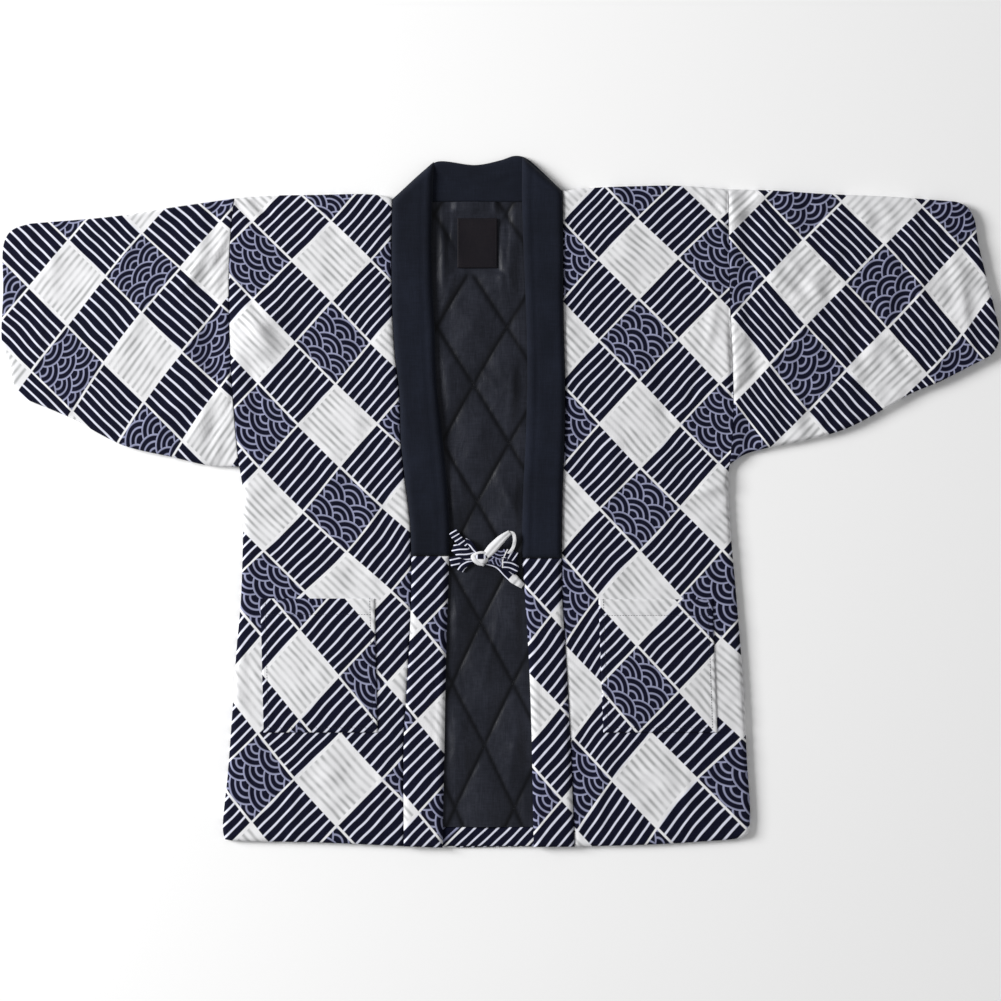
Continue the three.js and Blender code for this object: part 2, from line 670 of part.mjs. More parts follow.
/** One sleeve: a flattened tube, open at the cuff and at the armhole. */
function makeSleeve({ west, east, south, north }) {
  const patch = patchInside({ west, east, south, north });
  const size = sizeOf(patch);
  const middle = SLEEVE_HEIGHT / 2;
  const wall = middle - SLEEVE_INNER_GAP / 2;
  const uSteps = stepsFor(size.width, 29, [0, 4]);
  const vSteps = stepsFor(size.height, 27, [0, 1.2, middle]);
  const points = [];
  const loopAt = (u, heightAt, inset) => {
    const width = Math.hypot(patch(u, 1).x - patch(u, 0).x, patch(u, 1).y - patch(u, 0).y);
    const addPoint = (v, up) => {
      const place = inset / width + v * (1 - (2 * inset) / width);
      const { x, y } = patch(u, place);
      return points.push([x, y, heightAt(x, y, v * width, (1 - v) * width, up)]) - 1;
    };
    const up = vSteps.map((v) => addPoint(v, true));
    const down = vSteps.slice(1, -1).reverse().map((v) => addPoint(v, false));
    return [...up, ...down];
  };
  const outerHeight = (x, y, a, b, up) => {
    const full = roundedEdge(Math.min(a, b), middle);
    return up ? middle + middle * full + foldRise(x, y) * full : middle - middle * full;
  };
  const innerHeight = (x, y, a, b, up) => {
    const half = (SLEEVE_INNER_GAP / 2) * roundedEdge(Math.min(a, b), middle);
    return up ? middle + half : middle - half;
  };
  const outer = uSteps.map((u) => loopAt(u, outerHeight, 0));
  const inner = uSteps.map((u) => loopAt(u, innerHeight, wall));
  return meshOf(points, tubeFaces(outer, inner));
}

/** Faces of a tube's outer wall, inner wall and the two rims that join them. */
function tubeFaces(outer, inner) {
  const faces = [];
  const quad = (a, b, c, d) => faces.push([a, b, c], [a, c, d]);
  const count = outer[0].length;
  for (let i = 0; i < count; i += 1) {
    const j = (i + 1) % count;
    for (let ring = 0; ring + 1 < outer.length; ring += 1) {
      quad(outer[ring][i], outer[ring + 1][i], outer[ring + 1][j], outer[ring][j]);
      quad(inner[ring][j], inner[ring + 1][j], inner[ring + 1][i], inner[ring][i]);
    }
    const end = outer.length - 1;
    quad(outer[0][i], outer[0][j], inner[0][j], inner[0][i]);
    quad(outer[end][j], outer[end][i], inner[end][i], inner[end][j]);
  }
  return faces;
}

const STRAP_SECTION = table(
  ["across", "up"],
  [[-0.5, 0], [-0.36, -0.5], [0.36, -0.5], [0.5, 0], [0.36, 0.5], [-0.36, 0.5]],
);

/** A flat strand of cloth along a curve, with a width at each of its points. */
function makeStrand({ points, widths, thick }) {
  const places = points.map(([x, y, z]) => new THREE.Vector3(x, y, z + TIE_LIFT));
  const curve = new THREE.CatmullRomCurve3(places);
  const steps = 3 * (points.length - 1);
  const corners = [];
  const rings = Array.from({ length: steps + 1 }, (_, step) => {
    const place = step / steps;
    const centre = curve.getPoint(place);
    const tangent = curve.getTangent(place);
    const side = new THREE.Vector3(-tangent.y, tangent.x, 0).normalize();
    const at = place * (widths.length - 1);
    const low = Math.min(Math.floor(at), widths.length - 2);
    const width = THREE.MathUtils.lerp(widths[low], widths[low + 1], at - low);
    return STRAP_SECTION.map(({ across, up }) => {
      const corner = centre.clone().addScaledVector(side, -across * width);
      return corners.push([corner.x, corner.y, corner.z + up * thick]) - 1;
    });
  });
  const faces = [];
  const count = STRAP_SECTION.length;
  for (let i = 0; i < count; i += 1) {
    const j = (i + 1) % count;
    for (let ring = 0; ring < steps; ring += 1) {
      const [a, b] = [rings[ring][i], rings[ring][j]];
      const [d, c] = [rings[ring + 1][i], rings[ring + 1][j]];
      faces.push([a, c, b], [a, d, c]);
    }
    if (i > 0 && j > 0) {
      faces.push([rings[0][0], rings[0][i], rings[0][j]]);
      faces.push([rings[steps][0], rings[steps][j], rings[steps][i]]);
    }
  }
  return meshOf(corners, faces);
}

/** The knot that both ties run into, grown by a margin. */
function makeKnot(margin) {
  const geometry = new THREE.SphereGeometry(1, 14, 8);
  const { x, y, z, halfLength, halfWidth, halfHeight } = KNOT;
  geometry.scale(halfLength + margin, halfWidth + margin, halfHeight + margin);
  geometry.translate(x, y, z + TIE_LIFT);
  return geometry;
}

/** One tie: its strands joined in one body, with the knot on the right one and room for it in the left. */
function makeTie(side) {
  const strands = TIE_STRANDS.filter(({ tie }) => tie === side);
  const joined = strands.map((strand) => toSolid(makeStrand(strand))).reduce((sum, body) => sum.add(body));
  if (side === "right") return joined.add(toSolid(makeKnot(0)));
  return joined.subtract(toSolid(makeKnot(SEAM_GAP)));
}

/** Both ties, with a hair of room between them. */
function makeTies() {
  const right = makeTie("right");
  const left = makeTie("left");
  return { left: toGeometry(left), right: toGeometry(right) };
}

addPiece("back", makeBack(), PRINT);
addPiece("back_lining", makeLining(), LINING_CLOTH);
addPiece("back_hem_facing", makeFacing(), PRINT);
addPiece("neck_label", makeLabel(), LABEL_CLOTH);
addPiece("front_left", makeFront("left"), PRINT);
addPiece("front_right", makeFront("right"), PRINT);
addPiece("sleeve_left", makeSleeve({
  west: curveThrough(CUFF_LEFT, -SEAM_GAP),
  east: curveThrough(ARMHOLE_LEFT, -SEAM_GAP),
  south: curveThrough(SLEEVE_UNDER_LEFT, -SEAM_GAP),
  north: curveThrough(SLEEVE_TOP_LEFT, -SEAM_GAP),
}), PRINT);
addPiece("sleeve_right", makeSleeve({
  west: curveThrough(ARMHOLE_RIGHT, SEAM_GAP),
  east: curveThrough(CUFF_RIGHT, SEAM_GAP),
  south: curveThrough(SLEEVE_UNDER_RIGHT, SEAM_GAP),
  north: curveThrough(SLEEVE_TOP_RIGHT, SEAM_GAP),
}), PRINT);
addPiece("collar", makeCollar(), COLLAR_CLOTH);
addPiece("front_band_left", makeFrontBand("left"), PRINT);
addPiece("front_band_right", makeFrontBand("right"), PRINT);
POCKETS.forEach((pocket) => addPiece(pocket.name, makePocket(pocket), PRINT));
const ties = makeTies();
addPiece("tie_left", ties.left, PRINT);
addPiece("tie_right", ties.right, PRINT);

export default hanten;
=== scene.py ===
import logging
from dataclasses import dataclass
from enum import Enum
from functools import partial
from typing import Callable, ClassVar, NamedTuple, Sequence

import bpy
import numpy as np
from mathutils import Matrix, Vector


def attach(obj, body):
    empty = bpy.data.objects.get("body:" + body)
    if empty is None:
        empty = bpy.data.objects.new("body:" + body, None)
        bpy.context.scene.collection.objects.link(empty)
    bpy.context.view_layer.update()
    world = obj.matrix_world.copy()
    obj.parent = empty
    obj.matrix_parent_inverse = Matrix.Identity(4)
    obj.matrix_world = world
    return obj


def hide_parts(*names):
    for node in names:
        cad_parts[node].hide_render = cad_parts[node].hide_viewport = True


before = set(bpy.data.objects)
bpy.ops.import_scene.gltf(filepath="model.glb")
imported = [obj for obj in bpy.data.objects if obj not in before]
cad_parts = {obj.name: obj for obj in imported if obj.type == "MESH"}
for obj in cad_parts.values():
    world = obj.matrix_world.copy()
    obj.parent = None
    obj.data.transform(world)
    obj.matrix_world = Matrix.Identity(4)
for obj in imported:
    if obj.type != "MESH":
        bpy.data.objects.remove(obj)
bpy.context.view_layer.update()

LOG = logging.getLogger("hanten")
MM = 0.001
BODY = "root"
PRINT_MAP = "print_lattice"
# Point attribute that holds where shade is painted along the lining's sewn lines.
PAINTED_GROOVE_SHADE = "pressed"

# Heights and walls, the same named sizes as the part's source.
BACK_THICK = 4.4
LAYER_FLOOR = 4.7
FRONT_TOP = 9.8
COLLAR_FLOOR = 7.8
COLLAR_TOP = 15.6
BAND_TOP = 13.2
NECK_BAND_TOP = 8.1
SLEEVE_HEIGHT = 10.4
POCKET_THICK = 1.8
SEAM_GAP = 0.3
SIDE_DROP = 3.4
UNDERARM_Y = 42.5
NECK_SEAM_Y = 373.4
TIE_LIFT = 0.9

# The photograph's scale: each of its pixels is this many millimetres on the garment, from its middle.
PHOTO_MIDDLE = 500.0
MM_PER_PIXEL = 1.25


def outline(*rows: tuple[float, float]) -> np.ndarray:
    """Points of one outline curve, as rows of x and y."""
    return np.array(rows, float)


SIDE_SEAM_LEFT = outline(
    (-345, -424), (-347.5, -412), (-341, -337), (-335.5, -262), (-330.5, -187), (-325, -125), (-322.5, -50),
    (-321.5, 5), (-324.5, 28), (-327, 42.5),
)
ARMHOLE_LEFT = outline(
    (-327, 42.5), (-332, 95), (-337.5, 175), (-339.5, 265), (-338, 325), (-333, 378),
)
SIDE_SEAM_RIGHT = outline(
    (310, -418), (312.5, -400), (308.5, -325), (303.5, -225), (296, -130), (289, -50), (285.5, 0),
    (285.5, 31), (286.5, 45),
)
ARMHOLE_RIGHT = outline((286.5, 45), (290, 90), (290.8, 135), (288, 210), (285.5, 290), (284.5, 389.5))
HEM = outline(
    (-345, -424), (-337, -425.5), (-229, -428), (-121, -432.5), (-53, -434.5), (11, -433.5), (92, -433),
    (191, -430.5), (251, -427), (296, -423), (310, -418),
)
SHOULDER_LEFT = outline(
    (-333, 378), (-289, 381.5), (-229, 382.5), (-169, 383.5), (-145, 381), (-135.3, 377.5),
)
SHOULDER_RIGHT = outline((77.8, 387.5), (110, 391), (170, 393.5), (221, 394), (284.5, 389.5))
SLEEVE_TOP_LEFT = outline((-588, 346.5), (-484, 355.5), (-409, 367), (-333, 378))
SLEEVE_UNDER_LEFT = outline(
    (-590, 125), (-555, 111), (-529, 99), (-499, 82), (-469, 68), (-409, 54), (-360, 43), (-327, 42.5),
)
CUFF_LEFT = outline(
    (-590, 125), (-603, 137), (-610, 150), (-612.5, 172), (-621, 189), (-623.5, 203), (-621.5, 262),
    (-620.5, 322), (-611, 337.5), (-588, 346.5),
)
SLEEVE_TOP_RIGHT = outline((284.5, 389.5), (341, 388), (401, 384), (491, 380), (569, 374))
SLEEVE_UNDER_RIGHT = outline(
    (286.5, 45), (304, 57), (335, 66), (371, 73), (430, 89), (479, 114), (514, 134), (550, 149), (600, 175),
)
CUFF_RIGHT = outline(
    (600, 175), (612, 181), (620.5, 192), (623.5, 207), (616, 245), (607, 280), (597, 322), (592, 352),
    (583, 367), (569, 374),
)
FRONT_SEAM_LEFT = outline(
    (-121, -432.5), (-121, -300), (-118, -250), (-113.5, -170), (-111.5, -110), (-111.5, -69), (-113, -25),
    (-120, 31), (-124.5, 75), (-126, 130), (-132, 185), (-135.5, 250), (-136, 320), (-135, 377.5),
)
FREE_EDGE_LEFT = outline(
    (-72.5, -434.2), (-70, -305), (-68, -195), (-65, -100), (-63.5, -31), (-68, 35), (-74, 95), (-80, 150),
    (-82, 210), (-85.5, 290), (-85.5, 360), (-83.5, 424.5),
)
FREE_EDGE_RIGHT = outline(
    (41.5, -433.2), (38.5, -280), (35.5, -200), (31, -126), (27, -65), (28, -2), (32, 92), (33.5, 150),
    (32.5, 222), (29, 310), (27, 370), (27, 431.5),
)
FRONT_SEAM_RIGHT = outline(
    (92.5, -433), (88.5, -330), (85, -254), (80, -170), (76.5, -110), (76.5, -40), (77.5, 16), (80, 80),
    (80.5, 150), (78.5, 225), (78, 320), (77.5, 387.5),
)
NECK_FOLD = outline(
    (-135, 377.5), (-90, 418), (-78, 424.5), (-31, 420), (0, 426), (18, 431.5), (31, 429), (77.5, 387.5),
)


class Side(Enum):
    """The viewer's left or right half of the garment."""

    LEFT = "left"
    RIGHT = "right"


class Fold(NamedTuple):
    """A soft ridge, or a trough where rise is negative, centred at x and y and turned from the x axis."""

    x: float
    y: float
    length: float
    width: float
    turn: float
    rise: float


# The larger folds, as in the part's source.
MAIN_FOLDS = (
    Fold(-362, 292, 90, 18, 100, 1.5),
    Fold(-346, 105, 110, 18, 78, 1.8),
    Fold(-398, 118, 90, 22, 55, 1.1),
    Fold(-505, 250, 150, 30, 96, 0.8),
    Fold(-545, 150, 70, 20, 30, 1.0),
    Fold(378, 278, 90, 20, 62, -1.5),
    Fold(402, 268, 100, 20, 66, 1.3),
    Fold(306, 190, 120, 20, 94, 1.9),
    Fold(330, 96, 90, 18, 120, 1.4),
    Fold(506, 296, 120, 30, 100, 0.9),
    Fold(520, 160, 90, 22, 150, 1.0),
    Fold(262, 250, 150, 24, 92, 1.0),
    Fold(258, 20, 90, 20, 20, 1.1),
    Fold(-296, 20, 90, 20, 160, 1.1),
    Fold(-190, 330, 90, 26, 70, 0.8),
    Fold(150, 336, 90, 26, 110, 0.8),
    Fold(-215, -360, 120, 30, 88, 0.7),
    Fold(205, -352, 120, 30, 94, 0.7),
)

# Creases too small for the solids, placed where the photograph shades them.
FINE_CREASES = (
    # Drag lines by the left armhole, on the sleeve and then on the front.
    Fold(-367.5, 302.5, 64, 12, 60, 3.2),
    Fold(-375.5, 318.5, 44, 8, 57, 2.5),
    Fold(-352, 312, 60, 9, 62, 2.1),
    Fold(-359.5, 275.5, 40, 8, 50, 2.3),
    Fold(-384, 286, 70, 12, 58, 1.9),
    Fold(-342, 111, 48, 8, 62, -2.9),
    Fold(-369.5, 87.5, 34, 7, 58, 2.3),
    Fold(-378.5, 89.5, 50, 7, 57, 1.9),
    Fold(-356, 122, 60, 10, 64, 2.1),
    Fold(-354.5, 57.5, 40, 8, 74, 2.1),
    Fold(-298, 214, 100, 44, 55, 5.0),
    Fold(-300, 210, 64, 19, 124, 3.7),
    Fold(-376.5, 301.5, 34, 8, 62, 2.6),
    Fold(-355.5, 306.5, 34, 7, 60, 2.2),
    Fold(-353.5, 273.5, 30, 6, 62, 2.0),
    Fold(-392.5, 269.5, 40, 8, 56, 1.8),
    Fold(-355.5, 77.5, 30, 6, 64, 2.4),
    Fold(-372.5, 105.5, 34, 8, 62, 2.8),
    Fold(-360, 130, 34, 7, 50, 1.8),
    Fold(-300, 194, 74, 8, 142, -2.0),
    Fold(-286, 214, 60, 7, 142, -1.6),
    Fold(-312, 176, 50, 7, 146, -1.5),
    Fold(-300, 366, 34, 6, 140, -2.6),
    Fold(-316, 352, 40, 6, 130, -2.0),
    Fold(-303, 368, 44, 8, 140, -2.3),
    Fold(-318, 360, 50, 7, 135, -2.1),
    Fold(-280, 366, 46, 9, 134, 1.7),
    Fold(-296, 190, 120, 42, 128, 2.7),
    Fold(-306, 130, 80, 10, 100, -1.9),
    Fold(-312, 250, 60, 9, 116, -1.7),
    Fold(-300, 60, 70, 12, 150, 1.9),
    Fold(-280, -20, 70, 10, 162, -1.2),
    Fold(-250, -66, 90, 14, 150, 1.0),
    # Along the left sleeve.
    Fold(-440, 96, 70, 12, 36, 1.9),
    Fold(-470, 300, 90, 14, 80, 1.2),
    Fold(-454.5, 221.5, 90, 16, 66, 1.2),
    Fold(-507.5, 161.5, 80, 12, 40, 1.2),
    Fold(-538.5, 119.5, 50, 8, 64, 1.8),
    Fold(-575, 210, 80, 12, 84, 1.4),
    Fold(-594.5, 301.5, 60, 10, 76, 1.2),
    Fold(-560, 300, 90, 14, 92, 1.0),
    # By the right armhole, on the front and then on the sleeve.
    Fold(269, 369, 38, 7, 125, -2.5),
    Fold(254, 372, 40, 6, 130, -2.1),
    Fold(240, 366, 50, 9, 128, 1.7),
    Fold(262, 210, 90, 12, 80, 1.7),
    Fold(246, 150, 80, 10, 70, -1.7),
    Fold(250, 60, 80, 12, 28, -1.7),
    Fold(262, 14, 80, 12, 18, 1.9),
    Fold(305, 363, 60, 8, 42, 2.5),
    Fold(300, 346, 50, 8, 44, -1.8),
    Fold(320, 352, 60, 8, 40, -1.7),
    Fold(361, 266, 84, 15, 135, 3.4),
    Fold(384, 274, 84, 13, 132, 2.5),
    Fold(340, 252, 70, 13, 140, 1.9),
    Fold(288, 176, 110, 34, 95, 3.4),
    Fold(288, 352, 110, 34, 90, 3.0),
    Fold(312, 230, 60, 8, 50, -1.9),
    Fold(308, 150, 60, 8, 48, -1.9),
    Fold(315, 110, 60, 9, 130, 2.3),
    Fold(352, 96, 70, 10, 140, 1.9),
    # Along the right sleeve.
    Fold(420, 120, 80, 12, 148, 1.2),
    Fold(440, 200, 110, 16, 118, -1.4),
    Fold(470, 262, 100, 14, 112, 1.4),
    Fold(500, 180, 90, 14, 126, -1.2),
    Fold(540, 170, 70, 11, 140, 1.4),
    Fold(556, 300, 80, 12, 98, -1.4),
    Fold(580, 236, 80, 11, 96, 1.4),
    Fold(520, 350, 70, 11, 100, 1.0),
    # Slack in the fronts and by the hem.
    Fold(-205, 200, 110, 16, 100, 1.0),
    Fold(-236, 120, 120, 18, 84, -0.9),
    Fold(-176, 60, 120, 16, 96, 0.9),
    Fold(-160, -60, 120, 14, 92, 0.9),
    Fold(-306, -150, 80, 10, 84, 1.2),
    Fold(-322, -195, 50, 9, 112, 2.0),
    Fold(-312, -226, 60, 9, 102, -1.9),
    Fold(-328, -244, 50, 8, 118, 1.7),
    Fold(-318, -350, 90, 10, 86, 1.2),
    Fold(-262, -370, 80, 11, 94, 1.0),
    Fold(-150, -372, 90, 10, 90, 1.2),
    Fold(170, 190, 110, 16, 82, 1.0),
    Fold(206, 110, 120, 18, 98, -1.3),
    Fold(140, 40, 120, 16, 84, 0.9),
    Fold(120, -60, 100, 14, 88, 0.9),
    Fold(282, -160, 80, 10, 96, 1.2),
    Fold(288, -350, 90, 10, 95, 1.2),
    Fold(232, -366, 80, 11, 88, 1.0),
    Fold(124, -380, 80, 10, 90, 1.2),
)


class PocketShape(NamedTuple):
    """A patch pocket: its sides at the mouth and at the foot, and the heights of both."""

    name: str
    left: float
    right: float
    left_at_foot: float
    right_at_foot: float
    mouth: float
    foot: float


POCKETS = (
    PocketShape("pocket_left", -300, -157.5, -296, -153.5, -122.5, -290),
    PocketShape("pocket_right", 122.5, 265, 128.5, 271, -123.5, -290),
)
POCKET_KEPT_MARGIN = 3.0
POCKET_SOFT_MARGIN = 20.0


class PrintCorner(NamedTuple):
    """A corner of the print's lattice: its counts along both directions, and its pixel in the photograph."""

    along: float
    up: float
    px: float
    py: float


def corners(*rows: tuple[float, float, float, float]) -> tuple[PrintCorner, ...]:
    """Corners of the lattice on one piece, from rows of along, up, px and py."""
    return tuple(PrintCorner(*row) for row in rows)


PRINT_ON_FRONT_LEFT = corners(
    (-1, 0, 252, 221), (0, 0, 291, 260), (0, 1, 331, 221), (1, 1, 370, 260), (1, 0, 332, 300),
    (0, -1, 252, 299), (1, -1, 294, 343), (2, 0, 369, 342), (2, -1, 336, 384), (1, -2, 258, 382),
    (2, -2, 297, 424), (3, -1, 376, 424), (3, -2, 340, 465), (2, -3, 259, 468), (3, -3, 302, 512),
    (4, -2, 381, 506), (4, -3, 347, 553), (3, -4, 264, 550), (4, -4, 304, 590), (5, -3, 391, 590),
    (6, -6, 293, 778), (6, -5, 340, 733), (7, -5, 381, 779), (7, -6, 337, 825), (6, -7, 251, 822),
    (5, -6, 258, 733),
)
PRINT_ON_FRONT_RIGHT = corners(
    (0, 0, 598, 258), (0, 1, 636, 219), (1, 0, 639, 299), (1, 1, 678, 257), (1, 2, 718, 219),
    (1, -1, 598, 340), (2, 0, 678, 338), (2, 1, 718, 298), (2, -1, 638, 380), (3, 0, 719, 383),
    (2, -2, 599, 423), (3, -1, 681, 425), (3, -2, 640, 468), (4, -1, 717, 462), (3, -3, 599, 508),
    (4, -2, 680, 507), (4, -3, 639, 550), (5, -2, 722, 549), (4, -4, 597, 596), (5, -3, 680, 598),
    (6, -3, 719, 637), (6, -5, 651, 733), (6, -6, 611, 779), (7, -5, 695, 777), (7, -6, 657, 828),
    (7, -4, 743, 738), (5, -6, 573, 738),
)
PRINT_ON_SLEEVE_LEFT = corners(
    (0, 0, 68, 326), (1, 0, 105, 276), (0, 1, 28, 287), (1, 1, 68.5, 240), (1, -1, 141, 311),
    (2, -1, 180, 268), (2, 0, 141, 233), (-1, 0, 30, 370), (0, -1, 102, 363), (-1, -1, 73, 411),
    (0, -2, 143.5, 401), (1, -2, 182, 353), (3, -1, 220, 221), (2, -2, 220, 304), (1, -3, 219, 386),
    (0, -3, 182, 441),
)
PRINT_ON_SLEEVE_RIGHT = corners(
    (0, 0, 804, 324), (1, 0, 846, 283), (0, 1, 765, 279), (1, 1, 803, 239), (0, 2, 727, 235),
    (1, 2, 764, 198), (2, 1, 841, 202), (2, 0, 883, 243), (3, 0, 921, 206), (2, -1, 924, 287.5),
    (1, -1, 886, 328), (3, -1, 961, 248.5), (3, -2, 993, 287), (2, -2, 962, 334), (1, -2, 926, 374),
    (0, -2, 886, 410), (0, -1, 847, 369), (-1, -1, 807, 413), (-1, 0, 769, 363), (-1, 1, 731, 317),
    (-2, 0, 734, 401), (-2, -1, 770, 447),
)
PRINT_ON_BAND_LEFT = corners(
    (1, 1, 422, 626), (2, 0, 417, 719), (3, -1, 418, 812), (2, 1, 461, 675), (3, 0, 458, 768),
)
PRINT_ON_BAND_RIGHT = corners(
    (0, 0, 551, 614), (1, -1, 560, 706), (2, -2, 561, 799), (1, 0, 593, 661), (2, -1, 602, 752),
)
PRINT_ON_POCKET_LEFT = corners(
    (0, 0, 262, 672), (0, 1, 299, 630), (1, 1, 338, 675), (1, 0, 299, 718), (2, 1, 380, 727),
)
PRINT_ON_POCKET_RIGHT = corners((5, -4, 636, 645), (5, -5, 598, 686), (6, -4, 679, 690), (6, -5, 637, 733))
PRINT_ON_BACK = corners((0, 0, 480, 300), (1, 0, 521, 342), (0, 1, 520, 259), (1, 1, 561, 301))
PRINT_ON_FACING = corners((2, 1.5, 444, 846), (3, 1.5, 526, 846), (2, 1.5, 461, 829))


class Lattice:
    """Where the print's lattice lies on one piece, as a smooth map through its corners."""

    REACH = 75.0
    SLACK = 0.12
    SCALE = 400.0
    MOST_FOR_STRAIGHT = 8

    def __init__(self, rows: Sequence[PrintCorner]) -> None:
        """Fits the map.

        Args:
            rows: the corners. Pieces with few of them get a straight map, and the others a bent one.
        """
        self.places = np.array(
            [((row.px - PHOTO_MIDDLE) * MM_PER_PIXEL, (PHOTO_MIDDLE - row.py) * MM_PER_PIXEL) for row in rows]
        )
        counts = np.array([(row.along, row.up) for row in rows], float)
        self.degree = 2 if len(rows) > self.MOST_FOR_STRAIGHT else 1
        terms = self._terms(self.places[:, 0], self.places[:, 1])
        self.smooth = np.linalg.lstsq(terms, counts, rcond=None)[0]
        near = self._nearness(self.places[:, 0], self.places[:, 1])
        self.local = np.linalg.solve(near + self.SLACK * np.eye(len(rows)), counts - terms @ self.smooth)

    def _terms(self, x: np.ndarray, y: np.ndarray) -> np.ndarray:
        """Powers of the place up to the map's degree."""
        x, y = x / self.SCALE, y / self.SCALE
        powers = [(i, j) for i in range(self.degree + 1) for j in range(self.degree + 1 - i)]
        return np.stack([x**i * y**j for i, j in powers], -1)

    def _nearness(self, x: np.ndarray, y: np.ndarray) -> np.ndarray:
        """How near each place is to each corner, from 0 to 1."""
        away = (x[..., None] - self.places[:, 0]) ** 2 + (y[..., None] - self.places[:, 1]) ** 2
        return np.exp(-away / (2 * self.REACH**2))

    def at(self, x: np.ndarray, y: np.ndarray) -> np.ndarray:
        """Lattice counts at places on the garment.

        Args:
            x: places across, in millimetres.
            y: places up, in millimetres.

        Returns:
            The two counts of each place, along the last axis.
        """
        return self._terms(x, y) @ self.smooth + self._nearness(x, y) @ self.local


def linear(hex_colour: str) -> tuple[float, float, float, float]:
    """A linear colour with alpha from an sRGB hex value."""
    channels = (int(hex_colour[i : i + 2], 16) / 255 for i in (1, 3, 5))
    return (*(c / 12.92 if c <= 0.04045 else ((c + 0.055) / 1.055) ** 2.4 for c in channels), 1.0)


def darker(hex_colour: str, share: float) -> tuple[float, float, float, float]:
    """A linear colour whose light is cut to a share."""
    return (*(share * c for c in linear(hex_colour)[:3]), 1.0)


def add_node(tree: bpy.types.NodeTree, kind: str, *values: object, **settings: object) -> bpy.types.Node:
    """Adds a node, with its settings and its inputs.

    Args:
        tree: the node tree.
        kind: the node's type name.
        values: what goes into the inputs, in order: a number, vector, colour, node or socket, or None to
            skip one, or one dict from an input's name or place to its value.
        settings: the node's own properties.

    Returns:
        The new node.
    """
    node = tree.nodes.new(kind)
    for name, value in settings.items():
        setattr(node, name, value)
    named = values[0] if values and isinstance(values[0], dict) else dict(enumerate(values))
    for key, value in named.items():
        if value is None:
            continue
        if isinstance(value, bpy.types.Node):
            value = next(socket for socket in value.outputs if socket.enabled)
        if isinstance(value, bpy.types.NodeSocket):
            tree.links.new(value, node.inputs[key])
        else:
            node.inputs[key].default_value = value
    return node


AddNode = Callable[..., bpy.types.Node]


def start_material(name: str) -> tuple[bpy.types.Material, AddNode]:
    """A new empty material, and add_node with its tree filled in."""
    material = bpy.data.materials.new(name)
    material.use_nodes = True
    material.node_tree.nodes.clear()
    return material, partial(add_node, material.node_tree)


MATH = "ShaderNodeMath"
RANGE = "ShaderNodeMapRange"
MIX = "ShaderNodeMix"


def colour_mix(factor: object, first: object, second: object) -> dict[int, object]:
    """Inputs of a colour mix node, by their places."""
    return {0: factor, 6: first, 7: second}


def mapped(value: object, span: Sequence[float], to: Sequence[float] = (0.0, 1.0)) -> dict[int, object]:
    """Inputs of a map range node, by their places: a value, the span it is read in, and what that gives."""
    return {0: value, 1: span[0], 2: span[1], 3: to[0], 4: to[1]}


@dataclass(frozen=True)
class WovenSurface:
    """Thread relief of a plain weave, drawn coarser than real threads of about 0.4 mm so that it shows."""

    CELLS_IN_SLUB: ClassVar[float] = 30.0
    STREAK: ClassVar[float] = 0.06
    SLUB_SHARE: ClassVar[float] = 2.4
    STRENGTH: ClassVar[float] = 0.55

    thread_mm: float = 1.7
    slub_mm: float = 26.0
    bump_mm: float = 0.16

    def add(self, node: AddNode) -> tuple[bpy.types.Node, bpy.types.Node]:
        """Adds the weave to a tree.

        Args:
            node: what adds a node to the material's tree.

        Returns:
            The bump node, and a slow streak value around one half for tinting.
        """
        place = node("ShaderNodeTexCoord").outputs["Object"]
        axes = node("ShaderNodeSeparateXYZ", place).outputs[:2]
        turn = 2 * np.pi / (self.thread_mm * MM)
        waves = [node(MATH, axis, turn, operation="MULTIPLY") for axis in axes]
        waves = [node(MATH, wave, operation="SINE") for wave in waves]
        weave = node(MATH, *waves, operation="MULTIPLY")
        pace = self.CELLS_IN_SLUB / (self.slub_mm * MM)
        streaks = []
        for stretch in ((1.0, self.STREAK, 1.0), (self.STREAK, 1.0, 1.0)):
            run = node("ShaderNodeMapping", {0: place, 3: stretch})
            streaks.append(node("ShaderNodeTexNoise", {0: run, "Scale": pace, "Detail": 2.0}))
        slub = node(MATH, *streaks, operation="ADD")
        slub = node(MATH, slub, 0.5, operation="MULTIPLY")
        relief = node(MATH, weave, slub, operation="MULTIPLY")
        relief = node(MATH, slub, self.SLUB_SHARE, relief, operation="MULTIPLY_ADD")
        depth = {"Strength": self.STRENGTH, "Distance": self.bump_mm * MM}
        return node("ShaderNodeBump", {**depth, "Height": relief}), slub


